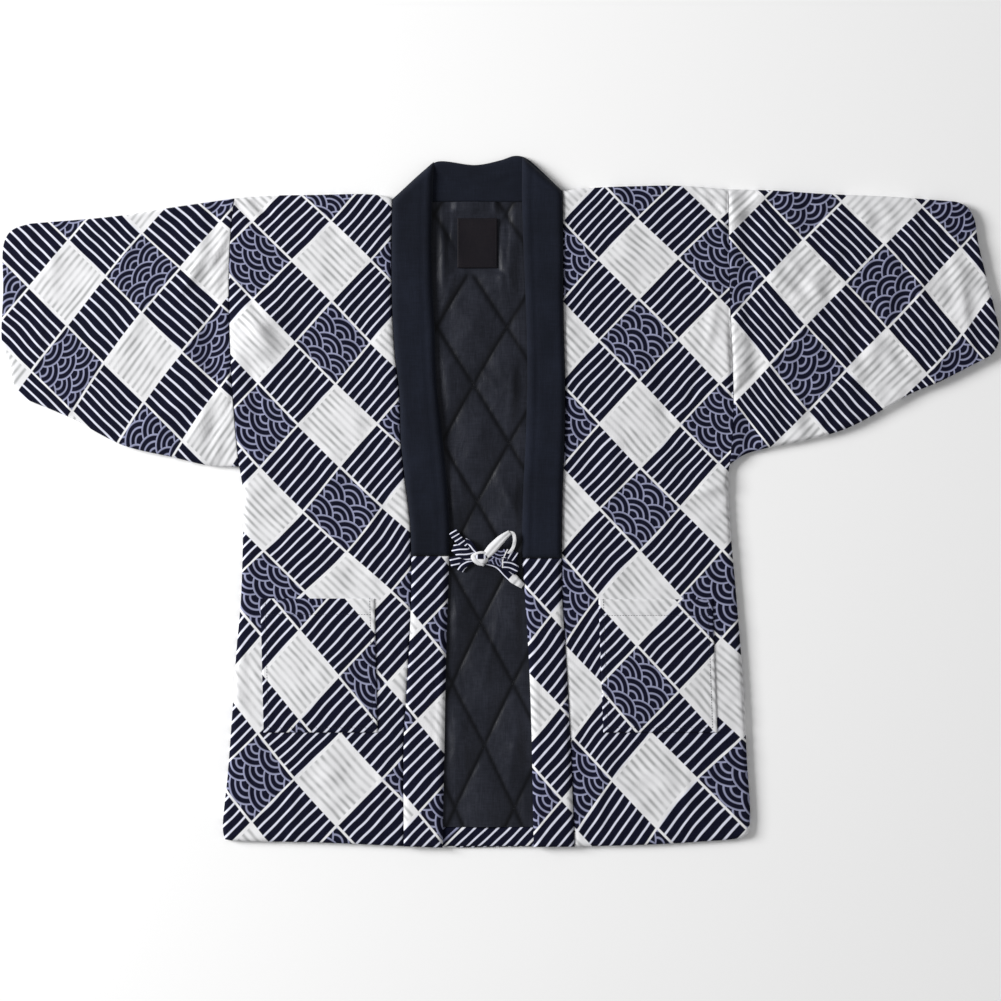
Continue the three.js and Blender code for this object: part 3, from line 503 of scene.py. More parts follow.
@dataclass(frozen=True)
class PrintedCotton:
    """Plain-weave cotton, printed navy on white: matte, with soft ink edges and faint fuzz at grazing light.

    Sizes of the print are shares of one square, and places in a square run from 0 to 1 both ways. Paces are
    noise cells in a metre.
    """

    # How far from a wave scale's centre, in radii, and whether the cloth is pale there.
    RINGS: ClassVar[tuple[tuple[float, int], ...]] = (
        (0.0, 0), (0.28, 0), (0.325, 1), (0.37, 1), (0.415, 0), (0.585, 0), (0.63, 1), (0.67, 1),
        (0.715, 0), (0.895, 0), (0.945, 1), (1.0, 1),
    )
    NO_SCALE_HERE: ClassVar[float] = 1000.0
    FALLING: ClassVar[tuple[float, float]] = (1.0, 0.0)

    navy: str = "#090a19"
    navy_worn: str = "#15172d"
    white: str = "#e8e8ea"
    pin_white: str = "#dddfee"
    grey_line: str = "#a9aaab"
    arc_light: str = "#9598b4"
    worn_span: tuple[float, float] = (0.35, 0.68)
    pins: float = 7.0
    pin_edge: tuple[float, float] = (0.075, 0.16)
    grey_lines: float = 8.0
    grey_edge: tuple[float, float] = (0.0, 0.40)
    grey_margin: float = 0.045
    grey_end_margin: float = 0.03
    patch_pace: float = 38.0
    patch_span: tuple[float, float] = (0.32, 0.62)
    patch_least: float = 0.3
    line_half: float = 0.019
    line_half_across: float = 0.85
    line_edge: tuple[float, float] = (1.35, 0.65)
    wobble: float = 0.075
    wobble_pace: float = 19.0
    wobble_shift: float = 7.3
    scale_radius: float = 0.338
    even_column_start: float = 0.30
    odd_column_start: float = 0.13

    def build(self, name: str) -> bpy.types.Material:
        """Makes the material under a name."""
        material, node = start_material(name)
        counts = node("ShaderNodeUVMap", uv_map=PRINT_MAP)
        axes = node("ShaderNodeSeparateXYZ", counts).outputs[:2]
        s, t = (node(MATH, axis, operation="FRACT") for axis in axes)
        squares = [node(MATH, axis, operation="FLOOR") for axis in axes]
        odd = [node(MATH, square, 2.0, operation="FLOORED_MODULO") for square in squares]
        both_odd = node(MATH, *odd, operation="MULTIPLY")
        any_odd = node(MATH, *odd, operation="MAXIMUM")
        both_even = node(MATH, 1.0, any_odd, operation="SUBTRACT")

        weave, streak = WovenSurface().add(node)
        worn = node(RANGE, mapped(streak, self.worn_span))
        navy = node(MIX, colour_mix(worn, linear(self.navy), linear(self.navy_worn)), data_type="RGBA")
        bent_s, bent_t = self._wobbled(node, s, 0.0), self._wobbled(node, t, self.wobble_shift)
        stripes = self._stripes(node, bent_s, navy)
        waves = self._waves(node, bent_s, bent_t, squares, navy)
        plain = self._white_square(node, s, bent_t)
        lines = self._lattice_lines(node, s, t)
        ink = stripes
        layers = ((both_odd, waves.outputs[2]), (both_even, plain.outputs[2]), (lines, linear(self.white)))
        for mask, over in layers:
            ink = node(MIX, colour_mix(mask, ink.outputs[2], over), data_type="RGBA")

        shader = node("ShaderNodeBsdfPrincipled", {
            "Base Color": ink.outputs[2], "Roughness": 0.88, "IOR": 1.45, "Specular IOR Level": 0.1,
            "Sheen Weight": 0.02, "Sheen Roughness": 0.5, "Normal": weave,
        })
        node("ShaderNodeOutputMaterial", shader)
        return material

    def _wobbled(self, node: AddNode, axis: object, shift: float) -> bpy.types.Node:
        """A place in the square, shifted a little to and fro as on a screen-printed drawing.

        Args:
            node: what adds a node to the material's tree.
            axis: the place in the square.
            shift: where in the noise the wobble is read, so that both directions differ.

        Returns:
            The shifted place.
        """
        place = node("ShaderNodeTexCoord").outputs["Object"]
        moved = node("ShaderNodeMapping", {0: place, 1: (shift, shift, 0.0)})
        noise = node("ShaderNodeTexNoise", {0: moved, "Scale": self.wobble_pace, "Detail": 1.0})
        off = node(MATH, noise, -0.5, operation="ADD")
        return node(MATH, off, self.wobble, axis, operation="MULTIPLY_ADD")

    def _from_middle(self, node: AddNode, place: object) -> bpy.types.Node:
        """How far a place is from the middle of its span from 0 to 1."""
        away = node(MATH, place, 0.5, operation="SUBTRACT")
        return node(MATH, away, operation="ABSOLUTE")

    def _stripes(self, node: AddNode, s: object, navy: object) -> bpy.types.Node:
        """Navy stripes with white pinstripes between them."""
        phase = node(MATH, s, self.pins, 0.5, operation="MULTIPLY_ADD")
        away = self._from_middle(node, node(MATH, phase, operation="FRACT"))
        pin = node(RANGE, mapped(away, self.pin_edge, self.FALLING), interpolation_type="SMOOTHSTEP")
        return node(MIX, colour_mix(pin, navy.outputs[2], linear(self.pin_white)), data_type="RGBA")

    def _white_square(self, node: AddNode, s: object, t: object) -> bpy.types.Node:
        """A white square with soft grey lines, patchy where ink is thin, which end short of its borders."""
        spread = self.grey_lines / (1 - 2 * self.grey_margin)
        phase = node(MATH, t, spread, -self.grey_margin * spread, operation="MULTIPLY_ADD")
        away = self._from_middle(node, node(MATH, phase, operation="FRACT"))
        line = node(RANGE, mapped(away, self.grey_edge, self.FALLING), interpolation_type="SMOOTHSTEP")
        for axis, margin in ((s, self.grey_end_margin), (t, self.grey_margin)):
            border = (0.49 - margin, 0.5 - margin)
            inside = node(RANGE, mapped(self._from_middle(node, axis), border, self.FALLING))
            line = node(MATH, line, inside, operation="MULTIPLY")
        place = node("ShaderNodeTexCoord").outputs["Object"]
        patchy = node("ShaderNodeTexNoise", {0: place, "Scale": self.patch_pace, "Detail": 2.0})
        patchy = node(RANGE, mapped(patchy, self.patch_span, (self.patch_least, 1.0)))
        line = node(MATH, line, patchy, operation="MULTIPLY")
        return node(MIX, colour_mix(line, linear(self.white), linear(self.grey_line)), data_type="RGBA")

    def _lattice_lines(self, node: AddNode, s: object, t: object) -> bpy.types.Node:
        """White lines between the squares."""
        masks = []
        for axis, half in ((s, self.line_half_across * self.line_half), (t, self.line_half)):
            edge = [0.5 - share * half for share in self.line_edge]
            limits = mapped(self._from_middle(node, axis), edge)
            masks.append(node(RANGE, limits, interpolation_type="SMOOTHSTEP"))
        return node(MATH, *masks, operation="MAXIMUM")

    def _waves(
        self, node: AddNode, s: object, t: object, squares: Sequence[object], navy: object
    ) -> bpy.types.Node:
        """Overlapping wave scales, turned round in every other square.

        Args:
            node: what adds a node to the material's tree.
            s: place in the square along the bold lines.
            t: place in the square across them.
            squares: whole counts of the square along and across.
            navy: the ink's colour.

        Returns:
            The mix node that holds the scales' colours.
        """
        total = node(MATH, *squares, operation="ADD")
        half = node(MATH, total, 0.5, 1.0, operation="MULTIPLY_ADD")
        upright = node(MATH, half, 2.0, operation="FLOORED_MODULO")
        turned = []
        for axis in (s, t):
            mirrored = node(MATH, 1.0, axis, operation="SUBTRACT")
            turned.append(node(MIX, {0: upright, 2: mirrored, 3: axis}, data_type="FLOAT").outputs[0])
        column = node(MATH, turned[0], 0.5, operation="SUBTRACT")
        column = node(MATH, column, self.scale_radius, operation="DIVIDE")
        height = node(MATH, turned[1], self.scale_radius, operation="DIVIDE")
        even, odd = (
            self._scale(node, column, height, shift, start / self.scale_radius)
            for shift, start in ((0.0, self.even_column_start), (1.0, self.odd_column_start))
        )
        odd_in_front = node(MATH, odd[0], even[0], operation="LESS_THAN")
        radius = node(MIX, {0: odd_in_front, 2: even[1], 3: odd[1]}, data_type="FLOAT")
        bands = node("ShaderNodeValToRGB", radius.outputs[0])
        stops = bands.color_ramp.elements
        for place, _ in self.RINGS[1:-1]:
            stops.new(place)
        for stop, (place, light) in zip(stops, self.RINGS):
            stop.position = place
            stop.color = (light, light, light, 1)
        return node(MIX, colour_mix(bands, navy.outputs[2], linear(self.arc_light)), data_type="RGBA")

    def _scale(
        self, node: AddNode, column: object, height: object, shift: float, start: float
    ) -> tuple[bpy.types.Node, bpy.types.Node]:
        """The front-most scale over a place, in every other column.

        Args:
            node: what adds a node to the material's tree.
            column: place across the scales, in radii.
            height: place along them, in radii.
            shift: 0 for the even columns and 1 for the odd ones.
            start: height of the lowest scale's centre, in radii.

        Returns:
            The height of the scale's centre, very high where there is none, and the distance from it.
        """
        across = node(MATH, column, shift, operation="SUBTRACT")
        nearest = node(MATH, across, 0.5, 0.5, operation="MULTIPLY_ADD")
        nearest = node(MATH, nearest, operation="FLOOR")
        dx = node(MATH, nearest, -2.0, across, operation="MULTIPLY_ADD")
        reach = node(MATH, dx, dx, operation="MULTIPLY")
        reach = node(MATH, 1.0, reach, operation="SUBTRACT")
        reach = node(MATH, reach, 0.0, operation="MAXIMUM")
        reach = node(MATH, reach, operation="SQRT")
        above = node(MATH, height, start, operation="SUBTRACT")
        centre = node(MATH, above, reach, operation="SUBTRACT")
        centre = node(MATH, centre, operation="CEIL")
        dy = node(MATH, above, centre, operation="SUBTRACT")
        misses = node(MATH, dy, reach, operation="ADD")
        misses = node(MATH, misses, 0.0, operation="LESS_THAN")
        place = node(MATH, centre, start, operation="ADD")
        place = node(MATH, misses, self.NO_SCALE_HERE, place, operation="MULTIPLY_ADD")
        squares = node(MATH, dy, dy, operation="MULTIPLY")
        squares = node(MATH, dx, dx, squares, operation="MULTIPLY_ADD")
        return place, node(MATH, squares, operation="SQRT")


@dataclass(frozen=True)
class DarkCloth:
    """Dyed cloth of one colour, with a weave, slow fading and a faint fuzz or gloss.

    Painted shade darkens the colour along sewn lines, where the pressed attribute marks the cloth pulled
    down into them. Paces are noise cells in a metre.
    """

    # Share of the colour's light left where shade is painted into the sewn lines.
    PAINTED_SHADE_SHARE: ClassVar[float] = 0.3
    FADE_SPAN: ClassVar[tuple[float, float]] = (0.14, 0.36)
    CLOUD_PACE: ClassVar[float] = 14.0
    WRINKLE_PACE: ClassVar[float] = 85.0
    WRINKLE_STRETCH: ClassVar[tuple[float, float, float]] = (1.0, 0.35, 1.0)

    colour: str
    faded: str
    roughness: float
    specular: float
    sheen: float
    surface: WovenSurface
    wrinkle_mm: float = 0.0

    def build(self, name: str) -> bpy.types.Material:
        """Makes the material under a name."""
        material, node = start_material(name)
        bump, streak = self.surface.add(node)
        place = node("ShaderNodeTexCoord").outputs["Object"]
        look = {"Scale": self.CLOUD_PACE, "Detail": 4.0, "Roughness": 0.6}
        clouds = node("ShaderNodeTexNoise", {0: place, **look})
        both = node(MATH, streak, clouds, operation="MULTIPLY")
        fade = node(RANGE, mapped(both, self.FADE_SPAN))
        tint = node(MIX, colour_mix(fade, linear(self.colour), linear(self.faded)), data_type="RGBA")
        # Painted shade: a darker copy of the colour is mixed in along the sewn lines.
        pressed = node("ShaderNodeAttribute", attribute_name=PAINTED_GROOVE_SHADE).outputs["Fac"]
        painted_shade_colour = darker(self.colour, self.PAINTED_SHADE_SHARE)
        tint = node(MIX, colour_mix(pressed, tint.outputs[2], painted_shade_colour), data_type="RGBA")
        if self.wrinkle_mm:
            run = node("ShaderNodeMapping", {0: place, 3: self.WRINKLE_STRETCH})
            look = {"Scale": self.WRINKLE_PACE, "Detail": 3.0, "Distortion": 0.7}
            creases = node("ShaderNodeTexNoise", {0: run, **look})
            depth = {"Strength": 0.6, "Distance": self.wrinkle_mm * MM}
            bump = node("ShaderNodeBump", {**depth, "Height": creases, "Normal": bump})
        shader = node("ShaderNodeBsdfPrincipled", {
            "Base Color": tint.outputs[2], "Roughness": self.roughness, "IOR": 1.46,
            "Specular IOR Level": self.specular, "Sheen Weight": self.sheen, "Sheen Roughness": 0.45,
            "Normal": bump,
        })
        node("ShaderNodeOutputMaterial", shader)
        return material


@dataclass(frozen=True)
class SewingThread:
    """Twisted polyester thread: round, a little glossier than the cloth, with the twist as fine ridges."""

    RIDGES_PER_SCALE: ClassVar[float] = 20.0
    GROOVE_SHADE: ClassVar[float] = 0.7
    RELIEF_MM: ClassVar[float] = 0.1

    colour: str
    twist_mm: float = 0.9

    def build(self, name: str) -> bpy.types.Material:
        """Makes the material under a name."""
        material, node = start_material(name)
        place = node("ShaderNodeTexCoord").outputs["Object"]
        look = {"Scale": 1 / (self.twist_mm * MM * self.RIDGES_PER_SCALE), "Distortion": 1.2}
        twist = node("ShaderNodeTexWave", {0: place, **look}, bands_direction="DIAGONAL").outputs["Fac"]
        depth = {"Strength": 0.4, "Distance": self.RELIEF_MM * MM}
        bump = node("ShaderNodeBump", {**depth, "Height": twist})
        # Painted shade: the twist's grooves take a darker copy of the thread colour.
        groove, ridge = darker(self.colour, self.GROOVE_SHADE), linear(self.colour)
        tint = node(MIX, colour_mix(twist, groove, ridge), data_type="RGBA")
        shader = node(
            "ShaderNodeBsdfPrincipled",
            {"Base Color": tint.outputs[2], "Roughness": 0.6, "Specular IOR Level": 0.35, "Normal": bump},
        )
        node("ShaderNodeOutputMaterial", shader)
        return material


class Finishes:
    """Every material of the garment, made once."""

    def __init__(self) -> None:
        """Builds the materials."""
        self.printed = PrintedCotton().build("printed_plain_weave_cotton")
        self.collar = DarkCloth(
            "#13161f", "#1b1f2b", 0.86, 0.12, 0.05, WovenSurface(1.5, 34.0, 0.2)
        ).build("dyed_navy_cotton")
        # Quilting taffeta: a smooth filament weave, so it glints along its creases where cotton stays dull.
        self.lining = DarkCloth(
            "#1a1c23", "#2a2c35", 0.4, 0.17, 0.0, WovenSurface(1.2, 40.0, 0.06), 1.2
        ).build("charcoal_polyester_taffeta")
        # Damask label: a dense satin weave with a soft gloss.
        self.label = DarkCloth(
            "#121016", "#1b171c", 0.6, 0.14, 0.02, WovenSurface(1.1, 18.0, 0.1)
        ).build("black_woven_satin")
        self.dark_thread = SewingThread("#0f1116").build("charcoal_polyester_thread")
        self.navy_thread = SewingThread("#14172a").build("navy_polyester_thread")


class Curve:
    """A smooth line on the garment, read by its own length."""

    SAMPLES = 24
    LEAST_GAP = 1e-6
    END_MARGIN = 1e-3

    def __init__(self, line: np.ndarray) -> None:
        """Keeps a line of close points.

        Args:
            line: the points, one a row.
        """
        self.line = line
        steps = np.linalg.norm(np.diff(line, axis=0), axis=1)
        self.reach = np.concatenate([[0.0], np.cumsum(steps)])

    @classmethod
    def through(cls, points: np.ndarray, shift: float = 0.0) -> "Curve":
        """The centripetal Catmull-Rom line through points, moved sideways by shift."""
        points = points + np.array([shift] + [0.0] * (points.shape[1] - 1))
        ends = np.vstack([2 * points[0] - points[1], points, 2 * points[-1] - points[-2]])
        step = np.linspace(0, 1, cls.SAMPLES, endpoint=False)[:, None]
        parts = []
        for before, start, end, after in zip(ends, ends[1:], ends[2:], ends[3:]):
            spans = ((before, start), (start, end), (end, after))
            a, b, c = (max(np.linalg.norm(high - low), cls.LEAST_GAP) ** 0.5 for low, high in spans)
            leave = ((start - before) / a - (end - before) / (a + b) + (end - start) / b) * b
            reach = ((end - start) / b - (after - start) / (b + c) + (after - end) / c) * b
            square, cube = 3 * (end - start) - 2 * leave - reach, 2 * (start - end) + leave + reach
            parts.append(start + leave * step + square * step**2 + cube * step**3)
        return cls(np.vstack([*parts, points[-1:]]))

    @classmethod
    def joined(cls, *curves: "Curve") -> "Curve":
        """Curves end to end."""
        return cls(np.vstack([curves[0].line, *(curve.line[1:] for curve in curves[1:])]))

    @classmethod
    def straight(cls, start: np.ndarray, end: np.ndarray) -> "Curve":
        """A straight line between two points."""
        return cls(np.linspace(start, end, 3))

    @property
    def length(self) -> float:
        """The line's whole length."""
        return float(self.reach[-1])

    def at(self, fractions: np.ndarray) -> np.ndarray:
        """Points at fractions of the length."""
        where = np.asarray(fractions, float) * self.length
        return np.stack([np.interp(where, self.reach, column) for column in self.line.T], -1)

    def between(self, low: float, high: float, axis: int = 1) -> "Curve":
        """The stretch between two heights, or between two places across where axis is 0."""
        key = self.line[:, axis]
        ends = [np.array([np.interp(value, key, column) for column in self.line.T]) for value in (low, high)]
        inner = self.line[(key > low + self.END_MARGIN) & (key < high - self.END_MARGIN)]
        return Curve(np.vstack([ends[0], inner, ends[1]]))


SIDE_LEFT = Curve.joined(Curve.through(SIDE_SEAM_LEFT), Curve.through(ARMHOLE_LEFT))
SIDE_RIGHT = Curve.joined(Curve.through(SIDE_SEAM_RIGHT), Curve.through(ARMHOLE_RIGHT))


@dataclass(frozen=True)
class Patch:
    """The four-sided patch inside four edge curves."""

    west: Curve
    east: Curve
    south: Curve
    north: Curve

    @classmethod
    def between(cls, west: Curve, east: Curve) -> "Patch":
        """The patch between two curves, with straight ends."""
        return cls(west, east, *(Curve.straight(west.line[end], east.line[end]) for end in (0, -1)))

    def grid(self, us: np.ndarray, vs: np.ndarray) -> np.ndarray:
        """Places over the patch.

        Args:
            us: fractions from west to east, from 0 to 1.
            vs: fractions from south to north, from 0 to 1.

        Returns:
            An array of rows, columns and the two coordinates.
        """
        south, north = self.south.at(us), self.north.at(us)
        west, east = self.west.at(vs), self.east.at(vs)
        u, v = us[None, :, None], vs[:, None, None]
        along = (1 - v) * south[None] + v * north[None]
        rise = (1 - u) * west[:, None] + u * east[:, None]
        ends = (1 - v) * ((1 - u) * south[0] + u * south[-1]) + v * ((1 - u) * north[0] + u * north[-1])
        return along + rise - ends

    def size(self) -> tuple[float, float]:
        """Width and height through the patch's middle."""
        middle = np.array([0.0, 0.5, 1.0])
        grid = self.grid(middle, middle)
        across, up = grid[1, 2] - grid[1, 0], grid[2, 1] - grid[0, 1]
        return float(np.linalg.norm(across)), float(np.linalg.norm(up))


EDGE_STEPS = (0.0, 0.35, 1.0, 2.0, 3.4, 5.2)


def even_steps(length: float, spacing: float, edges: Sequence[float] = EDGE_STEPS) -> np.ndarray:
    """Fractions from 0 to 1, close at both ends and even between."""
    margin = np.array(edges) / length
    count = max(2, round(length * (1 - 2 * margin[-1]) / spacing))
    middle = np.linspace(margin[-1], 1 - margin[-1], count + 1)
    return np.concatenate([margin[:-1], middle, 1 - margin[-2::-1]])


class Panel:
    """A grid of places over a patch, with the distance of each from the patch's four edges."""

    def __init__(self, patch: Patch, spacing: float, edges: Sequence[float] = EDGE_STEPS) -> None:
        """Lays the grid.

        Args:
            patch: the piece's outline.
            spacing: the grid's step, in millimetres.
            edges: where the first lines of the grid lie, from each edge.
        """
        self.width, self.height = patch.size()
        us = even_steps(self.width, spacing, edges)
        vs = even_steps(self.height, spacing, edges)
        places = patch.grid(us, vs)
        self.x, self.y = places[..., 0], places[..., 1]
        u, v = np.meshgrid(us, vs)
        self.west, self.east = u * self.width, (1 - u) * self.width
        self.south, self.north = v * self.height, (1 - v) * self.height
        self.edge = np.minimum.reduce([self.west, self.east, self.south, self.north])
        self.u = u

    def from_sides(self, side: Side) -> tuple[np.ndarray, np.ndarray]:
        """Distances from the garment's side and from its middle, on one half of the garment."""
        return (self.west, self.east) if side is Side.LEFT else (self.east, self.west)

    def flat_area(self) -> float:
        """The panel's flat area, in square metres."""
        dx = np.diff(self.x[:-1], axis=1), np.diff(self.x[:, :-1], axis=0)
        dy = np.diff(self.y[:-1], axis=1), np.diff(self.y[:, :-1], axis=0)
        return float(np.abs(dx[0] * dy[1] - dx[1] * dy[0]).sum()) * MM * MM


def rounded(distance: np.ndarray, width: float) -> np.ndarray:
    """0 at an edge, rising to 1 over a round of the given width."""
    reach = np.clip(distance / width, 0, 1)
    return np.sqrt(1 - (1 - reach) ** 2)


def smooth_step(value: np.ndarray, low: float, high: float) -> np.ndarray:
    """0 below low and 1 above high, with a soft rise between."""
    reach = np.clip((value - low) / (high - low), 0, 1)
    return reach * reach * (3 - 2 * reach)


def fold_rise(x: np.ndarray, y: np.ndarray, folds: Sequence[Fold]) -> np.ndarray:
    """Rise of the cloth at places, summed over folds."""
    rise = np.zeros_like(x)
    for fold in folds:
        turn = np.radians(fold.turn)
        along = (x - fold.x) * np.cos(turn) + (y - fold.y) * np.sin(turn)
        across = (y - fold.y) * np.cos(turn) - (x - fold.x) * np.sin(turn)
        rise += fold.rise * np.exp(-((along * 2 / fold.length) ** 2) - (across * 2 / fold.width) ** 2)
    return rise


def creased(x: np.ndarray, y: np.ndarray) -> np.ndarray:
    """Rise of the printed cloth at places, over all its folds and creases."""
    return fold_rise(x, y, MAIN_FOLDS) + fold_rise(x, y, FINE_CREASES)


def soft_floor(height: np.ndarray, least: np.ndarray | float, soft: np.ndarray | float) -> np.ndarray:
    """Heights kept above a least one, with a soft turn of about the given size where they meet it."""
    over = height - least
    return least + (over + np.sqrt(over**2 + np.square(soft))) / 2


def pocket_mask(x: np.ndarray, y: np.ndarray) -> np.ndarray:
    """0 under the pockets and 1 away from them."""
    mask = np.ones_like(x)
    for pocket in POCKETS:
        half_width = (pocket.right_at_foot - pocket.left) / 2 + POCKET_KEPT_MARGIN
        half_height = (pocket.mouth - pocket.foot) / 2 + POCKET_KEPT_MARGIN
        across = np.abs(x - (pocket.left + pocket.right_at_foot) / 2) - half_width
        along = np.abs(y - (pocket.mouth + pocket.foot) / 2) - half_height
        mask = np.minimum(mask, smooth_step(np.maximum(across, along), 0, POCKET_SOFT_MARGIN))
    return mask


class Wadding:
    """Slow unevenness of the wadding, as waves of fixed random lengths and turns."""

    WAVES = 22

    def __init__(self, seed: int, shortest: float = 24.0, longest: float = 90.0) -> None:
        """Draws the waves.

        Args:
            seed: the fixed seed of the draw.
            shortest: the shortest wave, in millimetres.
            longest: the longest wave, in millimetres.
        """
        draw = np.random.default_rng(seed)
        turns = draw.uniform(0, 2 * np.pi, self.WAVES)
        pace = 2 * np.pi / draw.uniform(shortest, longest, self.WAVES)
        self.pace_x, self.pace_y = pace * np.cos(turns), pace * np.sin(turns)
        self.phase = draw.uniform(0, 2 * np.pi, self.WAVES)

    def rise(self, x: np.ndarray, y: np.ndarray) -> np.ndarray:
        """Unevenness at places, near -1 to 1."""
        total = np.zeros_like(x)
        for pace_x, pace_y, phase in zip(self.pace_x, self.pace_y, self.phase):
            total += np.sin(pace_x * x + pace_y * y + phase)
        return total / np.sqrt(self.WAVES)


# Gathers beside a seam, in millimetres for each radian of their waves: the ripples, the drift of their
# spacing and the swell of their depth. They fade over the last length.
PUCKER_RIPPLE = 2.6
PUCKER_DRIFT = 17.0
PUCKER_SWELL = 41.0
PUCKER_FADE = 9.0


def puckers(distance: np.ndarray, along: np.ndarray, depth: float, seed: float) -> np.ndarray:
    """Small gathers beside a seam, which fade away from it."""
    run = along / PUCKER_RIPPLE + 1.6 * np.sin(along / PUCKER_DRIFT + seed) + seed
    strength = 0.55 + 0.45 * np.sin(along / PUCKER_SWELL + 2 * seed)
    return depth * strength * np.sin(run) * np.exp(-distance / PUCKER_FADE)


def gathered(*edges: tuple[np.ndarray, np.ndarray, float, float]) -> np.ndarray:
    """Gathers beside several edges, from the distance, the place along, the depth and the seed of each."""
    return sum(puckers(*edge) for edge in edges)


def add_object(name: str, data: bpy.types.ID) -> bpy.types.Object:
    """An object with its data, in the scene."""
    made = bpy.data.objects.new(name, data)
    bpy.context.scene.collection.objects.link(made)
    return made


def new_object(
    name: str, points: np.ndarray, faces: list[list[int]], counts: np.ndarray | None
) -> bpy.types.Object:
    """A smooth mesh object from points in millimetres.

    Args:
        name: the piece's name.
        points: its points, one a row.
        faces: its faces, as places in points.
        counts: the print's lattice counts of each point, or None.

    Returns:
        The object, in the scene.
    """
    mesh = bpy.data.meshes.new(name)
    mesh.from_pydata((points * MM).tolist(), [], faces)
    mesh.polygons.foreach_set("use_smooth", np.ones(len(mesh.polygons), bool))
    if counts is not None:
        corner_points = np.zeros(len(mesh.loops), int)
        mesh.loops.foreach_get("vertex_index", corner_points)
        layer = mesh.uv_layers.new(name=PRINT_MAP)
        layer.data.foreach_set("uv", counts[corner_points].astype(np.float32).ravel())
    mesh.update()
    return add_object(name, mesh)


def grid_faces(ids: np.ndarray, flip: bool = False) -> list[list[int]]:
    """The quads of a grid of point numbers, facing up, or down where flip is set."""
    quads = np.stack([ids[:-1, :-1], ids[:-1, 1:], ids[1:, 1:], ids[1:, :-1]], -1).reshape(-1, 4)
    return (quads[:, ::-1] if flip else quads).tolist()


def wrapped(ids: np.ndarray) -> np.ndarray:
    """A grid of point numbers closed to a tube, with its first column again after the last."""
    return np.hstack([ids, ids[:, :1]])


def ring_of(ids: np.ndarray) -> np.ndarray:
    """The border of a grid of point numbers, anticlockwise from its south-west corner."""
    return np.concatenate([ids[0, :-1], ids[:-1, -1], ids[-1, :0:-1], ids[:0:-1, 0]])


def slab(
    name: str, panel: Panel, top: np.ndarray, floor: np.ndarray | float, lattice: Lattice | None = None
) -> bpy.types.Object:
    """A closed piece of cloth over a panel.

    Args:
        name: the piece's name.
        panel: its grid of places.
        top: height of each place's upper face.
        floor: height of each place's lower face, or one height for a flat one.
        lattice: the print on the piece, if any.

    Returns:
        The object.
    """
    upper = np.stack([panel.x, panel.y, top], -1).reshape(-1, 3)
    ids = np.arange(panel.x.size).reshape(panel.x.shape)
    ring = ring_of(ids)
    faces = grid_faces(ids)
    if np.ndim(floor):
        lower = np.stack([panel.x, panel.y, floor], -1).reshape(-1, 3)
        faces += grid_faces(ids + ids.size, flip=True)
        low_ring = ring + ids.size
    else:
        lower = upper[ring] * (1, 1, 0) + (0, 0, floor)
        low_ring = np.arange(len(ring)) + ids.size
        faces += flat_floor_faces(low_ring, panel.x.shape[1] - 1, panel.x.shape[0] - 1)
    following = np.roll(np.arange(len(ring)), -1)
    faces += np.stack([low_ring, low_ring[following], ring[following], ring], -1).tolist()
    points = np.vstack([upper, lower])
    counts = lattice.at(points[:, 0], points[:, 1]) if lattice else None
    return new_object(name, points, faces, counts)


def flat_floor_faces(ring: np.ndarray, columns: int, rows: int) -> list[list[int]]:
    """Faces of a flat floor inside a ring, one for each row, facing down."""
    count = len(ring)
    east = [int(ring[columns + row]) for row in range(rows + 1)]
    west = [int(ring[(count - row) % count]) for row in range(rows + 1)]
    first = ring[: columns + 1].tolist()
    last = ring[columns + rows : 2 * columns + rows + 1].tolist()
    faces = [[*first, east[1], west[1]][::-1]]
    faces += [[west[row], west[row + 1], east[row + 1], east[row]] for row in range(1, rows - 1)]
    faces.append([west[rows - 1], east[rows - 1], *last][::-1])
    return faces


def dress(made: bpy.types.Object, material: bpy.types.Material, slot: str, *nodes: str) -> bpy.types.Object:
    """Gives a piece its material, rides it on the garment and lets it stand for nodes."""
    made.data.materials.clear()
    made.data.materials.append(material)
    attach(made, BODY)
    if nodes:
        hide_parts(*nodes)
    LOG.info("%s: %d faces", made.name, len(made.data.polygons))
    return made


